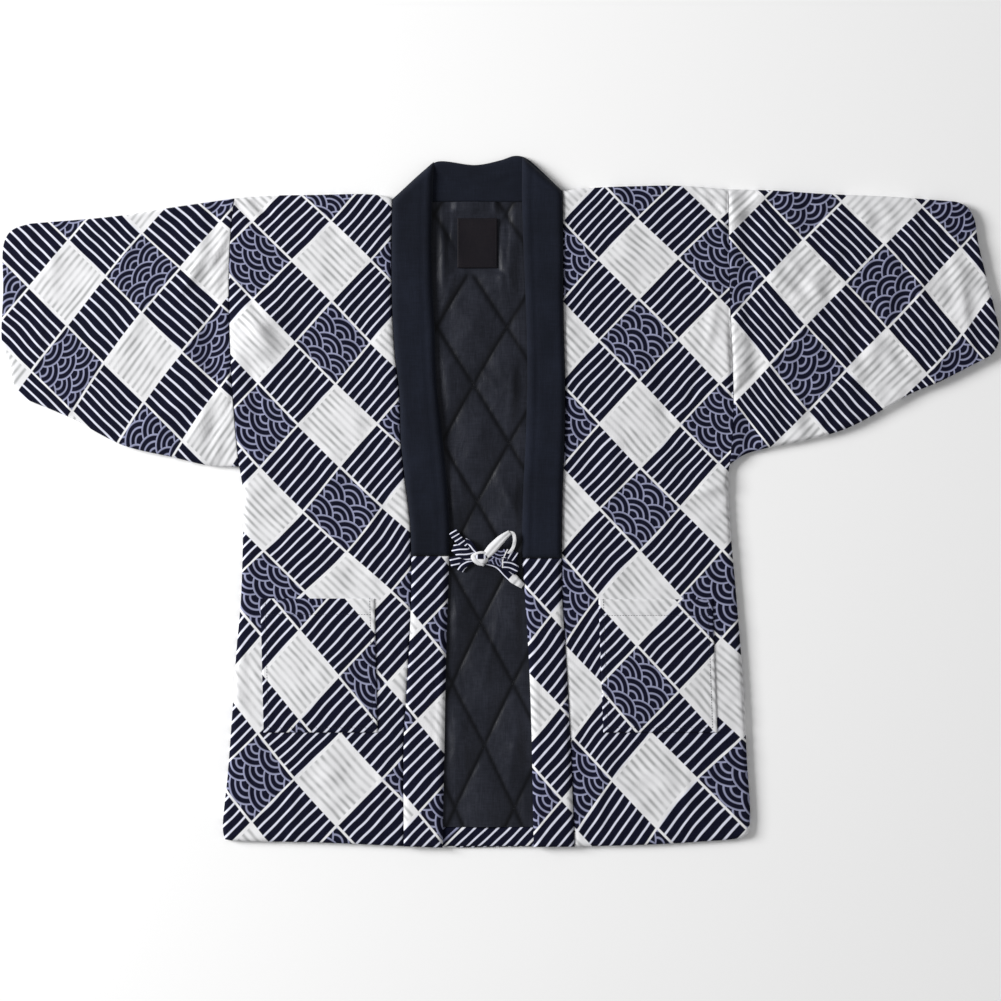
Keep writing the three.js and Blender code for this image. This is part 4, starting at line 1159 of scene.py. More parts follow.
@dataclass
class StitchRun:
    """Thread stitches along lines on the cloth, made with Geometry Nodes."""

    pitch: float = 3.6
    length: float = 2.6
    thickness: float = 0.6

    def _tree(self) -> bpy.types.NodeTree:
        """The node tree that lays one small thread loop at each step of every line."""
        tree = bpy.data.node_groups.new("stitches_along_lines", "GeometryNodeTree")
        for name, way, kind in (
            ("Lines", "INPUT", "Geometry"), ("Pitch", "INPUT", "Float"),
            ("Length", "INPUT", "Float"), ("Thickness", "INPUT", "Float"),
            ("Thread", "INPUT", "Material"), ("Stitches", "OUTPUT", "Geometry"),
        ):
            tree.interface.new_socket(name=name, in_out=way, socket_type="NodeSocket" + kind)
        node = partial(add_node, tree)
        given = node("NodeGroupInput").outputs
        line = node("GeometryNodeMeshToCurve", given["Lines"])
        steps = node("GeometryNodeResampleCurve", {"Curve": line, "Length": given["Pitch"]}, mode="LENGTH")
        run = node("GeometryNodeInputTangent")
        turn = node("FunctionNodeAlignRotationToVector", {"Vector": run}, axis="X")
        loop = node("GeometryNodeMeshUVSphere", {"Segments": 6, "Rings": 4, "Radius": 0.5})
        size = node("ShaderNodeCombineXYZ", given["Length"], given["Thickness"], given["Thickness"])
        where = {"Points": steps, "Instance": loop, "Rotation": turn, "Scale": size}
        placed = node("GeometryNodeInstanceOnPoints", where)
        real = node("GeometryNodeRealizeInstances", placed)
        smooth = node("GeometryNodeSetShadeSmooth", real)
        finished = node("GeometryNodeSetMaterial", {"Geometry": smooth, "Material": given["Thread"]})
        node("NodeGroupOutput", finished)
        return tree

    def build(self, name: str, lines: Sequence[np.ndarray], thread: bpy.types.Material) -> bpy.types.Object:
        """Makes the stitches.

        Args:
            name: the piece's name.
            lines: the lines to sew, each a row of points in millimetres.
            thread: the thread's material.

        Returns:
            The stitches as one plain mesh.
        """
        points = np.vstack(lines) * MM
        starts = np.cumsum([0] + [len(line) for line in lines])
        edges = [(i, i + 1) for a, b in zip(starts, starts[1:]) for i in range(a, b - 1)]
        guide_mesh = bpy.data.meshes.new(name + "_guide")
        guide_mesh.from_pydata(points.tolist(), edges, [])
        guide = add_object(name + "_guide", guide_mesh)
        tree = self._tree()
        sewing = guide.modifiers.new("sewing", "NODES")
        sewing.node_group = tree
        sizes = {"Pitch": self.pitch, "Length": self.length, "Thickness": self.thickness}
        values = {key: size * MM for key, size in sizes.items()} | {"Thread": thread}
        for item in tree.interface.items_tree:
            if item.name in values:
                sewing[item.identifier] = values[item.name]
        graph = bpy.context.evaluated_depsgraph_get()
        mesh = bpy.data.meshes.new_from_object(guide.evaluated_get(graph))
        mesh.name = name
        bpy.data.objects.remove(guide)
        return add_object(name, mesh)


class OuterBody:
    """The printed back and the two printed fronts."""

    SPACING = 3.2
    BACK_SPACING = 6.0
    BACK_EDGE_STEPS = (0.0, 0.5, 1.4, 3.0)
    BACK_EDGE_ROUND = 3.0
    BACK_EDGE_DROP = 1.2
    BACK_EDGE_LIFT = 1.6
    FRONT_EDGE_ROUND = 7.5
    HEM_ROUND = 6.0
    EDGE_DROP = SIDE_DROP + 1.2
    MOST_DROP = SIDE_DROP + 1.3
    UNDERARM_BLEND = 6.0
    ARMHOLE_DIP = {Side.LEFT: 0.5, Side.RIGHT: -0.5}
    SEAM_ROUND = 6.0
    SEAM_DIP = 2.3
    SEAM_CALM = 6.0
    WADDING_RISE = 0.55
    DEEPEST = 3.6
    DEEPEST_SOFT = 1.0

    def __init__(self, finishes: Finishes) -> None:
        """Keeps the finishes and draws the wadding."""
        self.finishes = finishes
        self.wadding = Wadding(11)

    def build(self) -> None:
        self._back()
        for side in Side:
            self._front(side)

    def _back(self) -> None:
        """The back: flat where it rests, with a soft outer edge."""
        neck = Curve(np.array([[SHOULDER_LEFT[-1][0], NECK_SEAM_Y], [SHOULDER_RIGHT[0][0], NECK_SEAM_Y]]))
        north = Curve.joined(
            Curve.through(SHOULDER_LEFT),
            Curve(np.vstack([SHOULDER_LEFT[-1:], neck.line, SHOULDER_RIGHT[:1]])),
            Curve.through(SHOULDER_RIGHT),
        )
        patch = Patch(SIDE_LEFT, SIDE_RIGHT, Curve.through(HEM), north)
        panel = Panel(patch, self.BACK_SPACING, self.BACK_EDGE_STEPS)
        full = rounded(panel.edge, self.BACK_EDGE_ROUND)
        top = BACK_THICK - self.BACK_EDGE_DROP * (1 - full)
        floor = self.BACK_EDGE_LIFT * (1 - full)
        back = slab("printed_back", panel, top, floor, Lattice(PRINT_ON_BACK))
        dress(back, self.finishes.printed, "print_cotton", "back")

    def _front(self, side: Side) -> None:
        """One front, with folds, gathers along its seams and wadding under the cloth."""
        left = side is Side.LEFT
        rows = FRONT_SEAM_LEFT if left else FRONT_SEAM_RIGHT
        seam = Curve.through(rows, -SEAM_GAP if left else SEAM_GAP)
        hem_end = seam.line[0][0]
        hem = Curve.through(HEM)
        low, high = (HEM[0][0], hem_end) if left else (hem_end, HEM[-1][0])
        patch = Patch(
            SIDE_LEFT if left else seam,
            seam if left else SIDE_RIGHT,
            hem.between(low, high, axis=0),
            Curve.through(SHOULDER_LEFT if left else SHOULDER_RIGHT),
        )
        panel = Panel(patch, self.SPACING)
        outer, inner = panel.from_sides(side)
        below = 1 - smooth_step(panel.y, UNDERARM_Y - self.UNDERARM_BLEND, UNDERARM_Y + self.UNDERARM_BLEND)
        side_drop = self.EDGE_DROP * below + self.ARMHOLE_DIP[side] * (1 - below)
        drop = side_drop * (1 - rounded(outer, self.FRONT_EDGE_ROUND))
        drop = drop + self.SEAM_DIP * (1 - rounded(inner, self.SEAM_ROUND))
        at_hem = rounded(panel.south, self.HEM_ROUND)
        at_shoulder = rounded(panel.north, self.FRONT_EDGE_ROUND)
        drop = np.minimum(drop + self.EDGE_DROP * (2 - at_hem - at_shoulder), self.MOST_DROP)
        kept = pocket_mask(panel.x, panel.y)
        away = smooth_step(panel.edge, 0, self.SEAM_CALM)
        relief = creased(panel.x, panel.y) + self.WADDING_RISE * self.wadding.rise(panel.x, panel.y)
        relief = soft_floor(relief, -self.DEEPEST, self.DEEPEST_SOFT) * kept * away
        gathers = gathered(
            (outer, panel.y, 0.5, 1.0), (inner, panel.y, 0.34, 2.1),
            (panel.south, panel.x, 0.3, 3.2), (panel.north, panel.x, 0.3, 4.0),
        )
        top = FRONT_TOP - drop + relief + gathers * kept * smooth_step(outer, 0, 2) * smooth_step(inner, 0, 2)
        lattice = Lattice(PRINT_ON_FRONT_LEFT if left else PRINT_ON_FRONT_RIGHT)
        front = slab(f"printed_front_{side.value}", panel, top, LAYER_FLOOR, lattice)
        dress(front, self.finishes.printed, "print_cotton", f"front_{side.value}")


class Sleeves:
    """The two flattened tubes of print cloth, open at the cuff and at the armhole."""

    SPACING = 3.4
    CUFF_ROUND = 5.0
    SEAM_DIP = 0.5
    ARMHOLE_RISE = {Side.LEFT: -0.2, Side.RIGHT: -0.4}
    ARMHOLE_HOLLOW = 2.8
    SLACK = {Side.LEFT: 0.6, Side.RIGHT: 1.0}
    RISE_REACH = 9
    HOLLOW_AT = 24
    HOLLOW_REACH = 13
    ARMHOLE_ROUND = 3.0
    CUFF_DROP = 2.2
    INNER_HALF = 0.6
    INNER_OPENS = 1.5
    LEAST_WALL = 1.1
    UNDER_STEPS = 30
    INNER_STEPS = 14
    # Area for a sleeve as a share of its outline's area, worked out but not used. Two whole layers would be
    # 2.
    AREA_SHARE = 1.9

    def __init__(self, finishes: Finishes) -> None:
        """Keeps the finishes and draws the wadding."""
        self.finishes = finishes
        self.wadding = {Side.LEFT: Wadding(23), Side.RIGHT: Wadding(29, 18.0, 64.0)}

    def build(self) -> None:
        """Makes both sleeves."""
        left = (CUFF_LEFT, ARMHOLE_LEFT, SLEEVE_UNDER_LEFT, SLEEVE_TOP_LEFT)
        right = (ARMHOLE_RIGHT, CUFF_RIGHT, SLEEVE_UNDER_RIGHT, SLEEVE_TOP_RIGHT)
        for side, gap, edges, rows in (
            (Side.LEFT, -SEAM_GAP, left, PRINT_ON_SLEEVE_LEFT),
            (Side.RIGHT, SEAM_GAP, right, PRINT_ON_SLEEVE_RIGHT),
        ):
            self._sleeve(side, Patch(*(Curve.through(edge, gap) for edge in edges)), Lattice(rows))

    def _sleeve(self, side: Side, patch: Patch, lattice: Lattice) -> None:
        """One sleeve.

        Args:
            side: which one.
            patch: its outline, laid flat.
            lattice: its print.
        """
        width, height = patch.size()
        us = even_steps(width, self.SPACING)
        over = even_steps(height, self.SPACING)
        under = even_steps(height, height / self.UNDER_STEPS)[1:-1][::-1]
        vs = np.concatenate([over, under])
        is_over = np.arange(len(vs)) < len(over)
        outer = self._rings(side, patch, us, vs, is_over, 0.0)
        inner_us = np.linspace(0, 1, self.INNER_STEPS)
        inner = self._rings(side, patch, inner_us, vs, is_over, SLEEVE_HEIGHT / 2 - self.INNER_HALF)
        ids = np.arange((len(us) + self.INNER_STEPS) * len(vs)).reshape(-1, len(vs))
        outer_ids, inner_ids = np.split(wrapped(ids), [len(us)])
        faces = grid_faces(outer_ids.T, flip=True) + grid_faces(inner_ids.T)
        for end in (0, -1):
            faces += grid_faces(np.stack([outer_ids[end], inner_ids[end]]), flip=end == 0)
        points = np.vstack([outer.reshape(-1, 3), inner.reshape(-1, 3)])
        counts = lattice.at(points[:, 0], points[:, 1])
        sleeve = new_object(f"printed_sleeve_{side.value}", points, faces, counts)
        dress(sleeve, self.finishes.printed, "print_cotton", f"sleeve_{side.value}")
        area = self.AREA_SHARE * Panel(patch, 20.0).flat_area()

    def _rings(
        self, side: Side, patch: Patch, us: np.ndarray, vs: np.ndarray, is_over: np.ndarray, inset: float
    ) -> np.ndarray:
        """Rings round the tube.

        Args:
            side: which sleeve.
            patch: its outline, laid flat.
            us: fractions along the sleeve, one a ring.
            vs: fractions across it, up the upper layer and back down the under one.
            is_over: which of them are on the upper layer.
            inset: how far the rings lie inside the outline, 0 for the outer face.

        Returns:
            An array of rings, points and coordinates.
        """
        middle, length = SLEEVE_HEIGHT / 2, patch.size()[0]
        ends = patch.grid(us, np.array([0.0, 1.0]))
        widths = np.linalg.norm(ends[1] - ends[0], axis=1)
        rings = []
        for u, width in zip(us, widths):
            places = inset / width + vs * (1 - 2 * inset / width)
            x, y = patch.grid(np.array([0.0, u, 1.0]), places)[:, 1].T
            from_edge = np.minimum(vs, 1 - vs) * width
            shares = (u, 1 - u) if side is Side.LEFT else (1 - u, u)
            from_cuff, from_armhole = (np.array(share * length) for share in shares)
            cuff = float(rounded(from_cuff, self.CUFF_ROUND))
            full = rounded(from_edge, middle)
            if inset:
                half = self.INNER_HALF * full + self.INNER_OPENS * (1 - cuff) * full
                z = np.where(is_over, middle + half, middle - half)
            else:
                seam = float(1 - rounded(from_armhole, self.ARMHOLE_ROUND))
                slope = self.ARMHOLE_RISE[side] * np.exp(-((from_armhole / self.RISE_REACH) ** 2))
                hollow = ((from_armhole - self.HOLLOW_AT) / self.HOLLOW_REACH) ** 2
                slope = slope - self.ARMHOLE_HOLLOW * np.exp(-hollow)
                relief = creased(x, y) + self.SLACK[side] * self.wadding[side].rise(x, y)
                calm = smooth_step(from_edge, 1, 12) * smooth_step(from_armhole, 0, 5) * cuff
                gathers = gathered(
                    (from_armhole, y, 0.5, 0.4), (from_cuff, y, 0.35, 1.4), (from_edge, x, 0.4, 2.4)
                )
                crown = middle * full - self.SEAM_DIP * seam * full - self.CUFF_DROP * (1 - cuff) * full
                over_z = middle + crown + (relief * calm + gathers * smooth_step(from_edge, 0, 4) * cuff)
                over_z = soft_floor(over_z + slope * full, middle + self.LEAST_WALL * full, 2 * full)
                under_z = middle - middle * full + self.CUFF_DROP * (1 - cuff) * full
                z = np.where(is_over, over_z, under_z)
            rings.append(np.stack([x, y, z], -1))
        return np.array(rings)


class QuiltedInside:
    """What the open fronts show: the quilted lining, the hem facing and the label."""

    SPACING = 2.0
    STITCH_HEIGHT = 5.1
    QUILT_RISE = 6.4
    # How far from the sewn lines shade is painted, and how strong it is.
    PAINTED_SHADE_REACH = 0.085
    PAINTED_SHADE_MOST = 0.95
    MARGIN_HEIGHT = 7.4
    TALLEST = 12.6
    ROW_AT_NECK = 288.0
    HALF_PITCH = 70.6
    PITCH_GROWTH = 0.46
    HALF_WIDTH_TOP = 45.0
    HALF_WIDTH_HEM = 37.0
    MIDDLE_TOP = -38.0
    MIDDLE_HEM = -20.0
    SPAN = 600.0
    HIDDEN = 47.0
    OPEN = 60.0
    INSET = 0.6
    FLOOR = LAYER_FLOOR - 0.2
    PILLOW_POWER = 0.42
    GATHER_DEPTH = 0.34
    SLACK = 0.22
    LINE_STEP = 3.0
    LINE_COUNTS = range(-8, 20)
    LEAST_RUN = 5
    THREAD_LIFT = 0.1
    FACING_FOOT = -432.6
    FACING_DEPTH = 24.0
    FACING_TOP = 6.9
    FACING_SPACING = 3.0
    FACING_EDGE_STEPS = (0, 0.6, 1.6, 3)
    FACING_DROP = 1.6
    FACING_ROUND = 3.4
    LABEL_X = -29.0
    LABEL_Y = 322.0
    LABEL_WIDTH = 50.0
    LABEL_HEIGHT = 62.0
    LABEL_FLATTENS = 0.7
    LABEL_THICK = 1.2
    LABEL_SPACING = 1.8
    LABEL_EDGE_STEPS = (0, 0.3, 0.9, 1.8)
    LABEL_DROP = 0.5
    LABEL_ROUND = 1.6
    LABEL_SOFT = 14
    LABEL_SEWN_AT = 2.0
    LABEL_RIM_POINTS = 90

    CREASES = (
        Fold(-73, 340, 110, 6, 91, 2.0),
        Fold(-64, 336, 90, 5, 88, -1.4),
        Fold(-56, 345, 80, 5, 86, 1.5),
        Fold(-6, 345, 90, 6, 94, 2.0),
        Fold(-1, 312, 110, 6, 95, 1.8),
        Fold(8, 320, 90, 6, 88, -1.4),
        Fold(20, 330, 80, 6, 92, 1.4),
        Fold(-68, 250, 70, 9, 70, 1.2),
        Fold(-76, 185, 90, 10, 96, 1.3),
        Fold(-20, 160, 60, 9, 130, 0.8),
        Fold(14, 130, 90, 9, 84, 1.0),
        Fold(-50, 20, 70, 9, 100, 1.0),
        Fold(8, 10, 60, 8, 112, 0.8),
        Fold(-40, -120, 60, 9, 60, 0.8),
        Fold(-10, -180, 80, 9, 78, 1.0),
        Fold(-52, -230, 70, 9, 112, 0.9),
        Fold(-45, -320, 80, 9, 96, 1.0),
        Fold(14, -330, 80, 9, 82, 0.9),
    )

    def __init__(self, finishes: Finishes) -> None:
        """Keeps the finishes."""
        self.finishes = finishes

    def build(self) -> None:
        self._lining()
        self._facing()
        self._label()

    def _between_seams(self, low: float, high: float) -> Patch:
        """The patch between the two front seams, from one height to another."""
        return Patch.between(
            Curve.through(FRONT_SEAM_LEFT, self.INSET).between(low, high),
            Curve.through(FRONT_SEAM_RIGHT, -self.INSET).between(low, high),
        )

    def _row(self, y: np.ndarray) -> np.ndarray:
        """Vertical place in the quilt, counted in half diamonds."""
        below = np.maximum(self.HALF_PITCH**2 + 4 * self.PITCH_GROWTH * (self.ROW_AT_NECK - y), 0)
        return (np.sqrt(below) - self.HALF_PITCH) / (2 * self.PITCH_GROWTH)

    def _middle_and_half(self, y: np.ndarray) -> tuple[np.ndarray, np.ndarray]:
        """Middle of the quilt's columns and half a diamond's width at heights."""
        down = np.clip((self.ROW_AT_NECK - y) / self.SPAN, 0, 1)
        middle = self.MIDDLE_TOP + (self.MIDDLE_HEM - self.MIDDLE_TOP) * down
        return middle, self.HALF_WIDTH_TOP + (self.HALF_WIDTH_HEM - self.HALF_WIDTH_TOP) * down

    def _label_mask(self, x: np.ndarray, y: np.ndarray) -> np.ndarray:
        """1 on the label's place and 0 away from it."""
        across = np.abs(x - self.LABEL_X) - self.LABEL_WIDTH / 2
        along = np.abs(y - self.LABEL_Y) - self.LABEL_HEIGHT / 2
        return 1 - smooth_step(np.maximum(across, along), 0, self.LABEL_SOFT)

    def _to_lines(self, x: np.ndarray, y: np.ndarray) -> list[np.ndarray]:
        """How far places are from a sewn line of each lean: 0 on it and 1 halfway to the next."""
        middle, half = self._middle_and_half(y)
        across, row = (x - middle) / half, self._row(y)
        return [np.abs(p / 2 - np.round(p / 2)) * 2 for p in (across + row, across - row)]

    def _mark_painted_shade(self, lining: bpy.types.Object) -> None:
        """Marks the points of the lining near the sewn lines, where shade is painted into the colour."""
        mesh = lining.data
        points = np.zeros(3 * len(mesh.vertices))
        mesh.vertices.foreach_get("co", points)
        x, y = points.reshape(-1, 3)[:, :2].T / MM
        # Painted shade: strongest on the sewn lines and none on the label.
        pressed = np.exp(-((np.minimum(*self._to_lines(x, y)) / self.PAINTED_SHADE_REACH) ** 2))
        pressed = self.PAINTED_SHADE_MOST * pressed * (1 - self._label_mask(x, y))
        mesh.attributes.new(PAINTED_GROOVE_SHADE, "FLOAT", "POINT").data.foreach_set("value", pressed.astype(np.float32))

    def _surface(self, x: np.ndarray, y: np.ndarray) -> np.ndarray:
        """Height of the open lining: pillows, gathers along the stitched lines and creases."""
        to_line = self._to_lines(x, y)
        pillow = (to_line[0] * to_line[1]) ** self.PILLOW_POWER
        flat = self._label_mask(x, y)
        near = np.minimum(*to_line)
        waves = np.sin(x / 2.3 - y / 3.1 + 2 * np.sin(y / 23))
        gathers = self.GATHER_DEPTH * waves * np.exp(-near * 9) * np.minimum(near * 12, 1)
        slack = self.SLACK * Wadding(41, 14.0, 40.0).rise(x, y) * np.minimum(near * 6, 1)
        creases = fold_rise(x, y, self.CREASES)
        rise = self.QUILT_RISE * (1 - self.LABEL_FLATTENS * flat) * pillow
        return self.STITCH_HEIGHT + rise + (gathers + slack + creases) * (1 - flat)

    def _lining(self) -> None:
        """The quilted lining and its stitches."""
        foot = self.FACING_FOOT + self.FACING_DEPTH + SEAM_GAP
        panel = Panel(self._between_seams(foot, NECK_SEAM_Y), self.SPACING)
        edge = np.minimum(panel.west, panel.east)
        is_open = smooth_step(edge, self.HIDDEN, self.OPEN)
        top = self.MARGIN_HEIGHT + (self._surface(panel.x, panel.y) - self.MARGIN_HEIGHT) * is_open
        top = np.minimum(top, self.MARGIN_HEIGHT + (self.TALLEST - self.MARGIN_HEIGHT) * is_open)
        lining = slab("quilted_lining", panel, top, self.FLOOR)
        self._mark_painted_shade(lining)
        dress(lining, self.finishes.lining, "lining_quilted", "back_lining")
        lines = self._quilt_lines(foot)
        run = StitchRun(pitch=4.2, length=3.0, thickness=0.75)
        stitches = run.build("quilting_stitches", lines, self.finishes.dark_thread)
        dress(stitches, self.finishes.dark_thread, "lining_quilted")

    def _quilt_lines(self, foot: float) -> list[np.ndarray]:
        """The sewn diamond lines in the open part of the lining."""
        y = np.arange(foot + self.LINE_STEP, NECK_SEAM_Y - 2, self.LINE_STEP)
        middle, half = self._middle_and_half(y)
        row = self._row(y)
        low = np.interp(y, *Curve.through(FREE_EDGE_LEFT).line.T[::-1]) + 1
        high = np.interp(y, *Curve.through(FREE_EDGE_RIGHT).line.T[::-1]) - 1
        lines = []
        for lean in (-1, 1):
            for count in self.LINE_COUNTS:
                x = middle + half * (lean * (row - 2 * count))
                shown = (x > low) & (x < high) & (self._label_mask(x, y) < 0.05)
                for run in np.split(np.arange(len(y)), np.flatnonzero(np.diff(shown.astype(int))) + 1):
                    if len(run) >= self.LEAST_RUN and shown[run[0]]:
                        z = self._surface(x[run], y[run]) + self.THREAD_LIFT
                        lines.append(np.stack([x[run], y[run], z], -1))
        return lines

    def _facing(self) -> None:
        """The print strip turned up inside the back hem, with its sewn edge."""
        strip = self._between_seams(self.FACING_FOOT, self.FACING_FOOT + self.FACING_DEPTH)
        panel = Panel(strip, self.FACING_SPACING, self.FACING_EDGE_STEPS)
        edge = np.minimum(panel.south, panel.north)
        drop = self.FACING_DROP * (1 - rounded(edge, self.FACING_ROUND))
        top = self.FACING_TOP - drop + puckers(edge, panel.x, 0.3, 0.8)
        facing = slab("hem_facing", panel, top, self.FLOOR, Lattice(PRINT_ON_FACING))
        dress(facing, self.finishes.printed, "print_cotton", "back_hem_facing")

    def _label(self) -> None:
        """The bare woven label, sewn down along its sides."""
        x0, y0 = self.LABEL_X - self.LABEL_WIDTH / 2, self.LABEL_Y - self.LABEL_HEIGHT / 2
        x1, y1 = x0 + self.LABEL_WIDTH, y0 + self.LABEL_HEIGHT
        sides = [Curve.straight(np.array((x, y0)), np.array((x, y1))) for x in (x0, x1)]
        panel = Panel(Patch.between(*sides), self.LABEL_SPACING, self.LABEL_EDGE_STEPS)
        floor = self.STITCH_HEIGHT + self.QUILT_RISE * (1 - self.LABEL_FLATTENS) + SEAM_GAP
        waves = 0.22 * np.sin(panel.x / 9 + panel.y / 21) + 0.15 * np.sin(panel.y / 6.5)
        drop = self.LABEL_DROP * (1 - rounded(panel.edge, self.LABEL_ROUND))
        top = floor + self.LABEL_THICK - drop + waves * smooth_step(panel.edge, 0, 6)
        label = slab("bare_label", panel, top, floor - 0.3)
        dress(label, self.finishes.label, "label_woven", "neck_label")
        west, east = x0 + self.LABEL_SEWN_AT, x1 - self.LABEL_SEWN_AT
        south, north = y0 + self.LABEL_SEWN_AT, y1 - self.LABEL_SEWN_AT
        rim = Curve(np.array([(west, south), (east, south), (east, north), (west, north), (west, south)]))
        height = np.full(self.LABEL_RIM_POINTS, floor + self.LABEL_THICK + 0.05)
        line = np.column_stack([rim.at(np.linspace(0, 1, self.LABEL_RIM_POINTS)), height])
        run = StitchRun(pitch=2.6, length=1.9, thickness=0.5)
        stitches = run.build("label_stitches", [line], self.finishes.dark_thread)
        dress(stitches, self.finishes.dark_thread, "label_woven")


class CollarAndBands:
    """The dark padded collar and the print bands that run on from its ends."""

    SPACING = 2.6
    END_LEFT = -69.0
    END_RIGHT = -72.0
    SEAM_ROUND = 8.0
    SIDE_ROUND = 9.0
    END_ROUND = 6.0
    OVER_ROUND = 13.0
    EDGE_DROP = 6.2
    OVER_DROP = 11.5
    LEAST_TOP = 1.2
    LEAST_SOFT = 1.0
    LEAST_WALL = 0.4
    PRESSED_AT = 13.0
    PRESSED_WIDTH = 3.0
    PRESSED_DEPTH = 0.5
    SHOULDER_REACH = 30
    SHOULDER_FLOOR = 1.0
    SHOULDER_SLOPE = 0.2
    NECK_SPACING = 2.2
    NECK_EDGE_STEPS = (0, 0.4, 1.2, 2.4)
    NECK_FOLD_ROUND = 7.0
    NECK_FOLD_DROP = 3.4
    NECK_SEAM_ROUND = 4.0
    NECK_SEAM_DROP = 1.6
    NECK_LIFT = 1.8
    NECK_SLACK = 0.35
    NECK_CREASES = (
        Fold(-60, 402, 50, 9, 150, 0.7),
        Fold(-10, 398, 70, 8, 8, -0.6),
        Fold(5, 408, 60, 8, 20, 0.6),
    )
    BAND_SEAM_ROUND = 7.0
    BAND_TOP_ROUND = 4.0
    BAND_DROP = 4.9
    BAND_RELIEF = 0.8

    def __init__(self, finishes: Finishes) -> None:
        """Keeps the finishes and draws the wadding."""
        self.finishes = finishes
        self.wadding = Wadding(37, 30.0, 110.0)

    def build(self) -> None:
        self._collar()
        for side in Side:
            self._band(side)

    def _curves(self, side: Side) -> tuple[Curve, Curve, float]:
        """A side's seam, its free edge and the height where collar and band meet."""
        if side is Side.LEFT:
            return Curve.through(FRONT_SEAM_LEFT), Curve.through(FREE_EDGE_LEFT), self.END_LEFT
        return Curve.through(FRONT_SEAM_RIGHT), Curve.through(FREE_EDGE_RIGHT), self.END_RIGHT

    def _patch(self, side: Side, seam: Curve, edge: Curve) -> Patch:
        """The patch between a side's seam and free edge."""
        return Patch.between(seam, edge) if side is Side.LEFT else Patch.between(edge, seam)

    def _leg(self, side: Side) -> bpy.types.Object:
        """One leg of the collar, which folds over the shoulder at its top."""
        seam, edge, end = self._curves(side)
        patch = self._patch(side, seam.between(end, seam.line[-1][1]), edge.between(end, edge.line[-1][1]))
        panel = Panel(patch, self.SPACING)
        at_seam, at_fold = panel.from_sides(side)
        crown = np.minimum(rounded(at_seam, self.SEAM_ROUND), rounded(at_fold, self.SIDE_ROUND))
        full = np.minimum(crown, rounded(panel.south, self.END_ROUND))
        over = rounded(panel.north, self.OVER_ROUND)
        lift = self._crown_relief(panel, at_seam, at_fold)
        top = COLLAR_TOP - self.EDGE_DROP * (1 - full) - self.OVER_DROP * (1 - over)
        top = soft_floor(top + lift * full * over, self.LEAST_TOP, self.LEAST_SOFT)
        at_shoulder = self.SHOULDER_FLOOR + self.SHOULDER_SLOPE * panel.north
        floor = np.where(panel.north < self.SHOULDER_REACH, at_shoulder, COLLAR_FLOOR)
        return slab(f"collar_leg_{side.value}", panel, top, np.minimum(floor, top - self.LEAST_WALL))

    def _crown_relief(self, panel: Panel, at_seam: np.ndarray, at_fold: np.ndarray) -> np.ndarray:
        """Slow waves of the padding, gathers at the seam and a soft pressed line near the fold."""
        waves = 0.5 * np.sin(panel.y / 31) * np.sin(np.pi * panel.u)
        waves = waves + 0.4 * self.wadding.rise(panel.x, panel.y)
        gathers = gathered((at_seam, panel.y, 0.45, 0.7), (at_fold, panel.y, 0.25, 1.9))
        pressed = np.exp(-(((at_fold - self.PRESSED_AT) / self.PRESSED_WIDTH) ** 2))
        return waves + gathers - self.PRESSED_DEPTH * pressed

    def _neck(self) -> bpy.types.Object:
        """The stretch behind the neck, which lies flat past the neck seam."""
        foot = NECK_SEAM_Y + SEAM_GAP
        first, last = NECK_FOLD[0], NECK_FOLD[-1]
        south = np.array([(first[0], foot), (last[0], foot)])
        patch = Patch(
            Curve.straight(south[0], first),
            Curve.straight(south[1], last),
            Curve.straight(south[0], south[1]),
            Curve.through(NECK_FOLD),
        )
        panel = Panel(patch, self.NECK_SPACING, self.NECK_EDGE_STEPS)
        fold_drop = self.NECK_FOLD_DROP * (1 - rounded(panel.north, self.NECK_FOLD_ROUND))
        seam_drop = self.NECK_SEAM_DROP * (1 - rounded(panel.south, self.NECK_SEAM_ROUND))
        top = NECK_BAND_TOP - fold_drop - seam_drop + self._neck_rise(panel)
        floor = self.NECK_LIFT * (1 - rounded(panel.north, self.NECK_SEAM_ROUND))
        return slab("collar_neck", panel, top, np.minimum(floor, top - self.LEAST_WALL))

    def _neck_rise(self, panel: Panel) -> np.ndarray:
        """Soft creases where the neck stretch bends."""
        calm = smooth_step(np.minimum(panel.north, panel.south), 0, 8)
        creases = fold_rise(panel.x, panel.y, self.NECK_CREASES)
        return (creases + self.NECK_SLACK * self.wadding.rise(panel.x, panel.y)) * calm

    def _collar(self) -> None:
        """The whole collar as one piece."""
        parts = [self._leg(Side.LEFT), self._leg(Side.RIGHT), self._neck()]
        collar = join_meshes("padded_collar", parts)
        dress(collar, self.finishes.collar, "collar_cotton", "collar")

    def _band(self, side: Side) -> None:
        """The print band below one end of the collar."""
        seam, edge, end = self._curves(side)
        end -= SEAM_GAP
        patch = self._patch(side, seam.between(seam.line[0][1], end), edge.between(edge.line[0][1], end))
        panel = Panel(patch, self.SPACING)
        at_seam, at_fold = panel.from_sides(side)
        crown = np.minimum(rounded(at_seam, self.BAND_SEAM_ROUND), rounded(at_fold, self.SIDE_ROUND))
        ends = np.minimum(rounded(panel.south, self.END_ROUND), rounded(panel.north, self.BAND_TOP_ROUND))
        full = np.minimum(crown, ends)
        lift = self._crown_relief(panel, at_seam, at_fold)
        top = BAND_TOP - self.BAND_DROP * (1 - full) + lift * full * self.BAND_RELIEF
        lattice = Lattice(PRINT_ON_BAND_LEFT if side is Side.LEFT else PRINT_ON_BAND_RIGHT)
        band = slab(f"printed_band_{side.value}", panel, top, COLLAR_FLOOR - 0.2, lattice)
        dress(band, self.finishes.printed, "print_cotton", f"front_band_{side.value}")


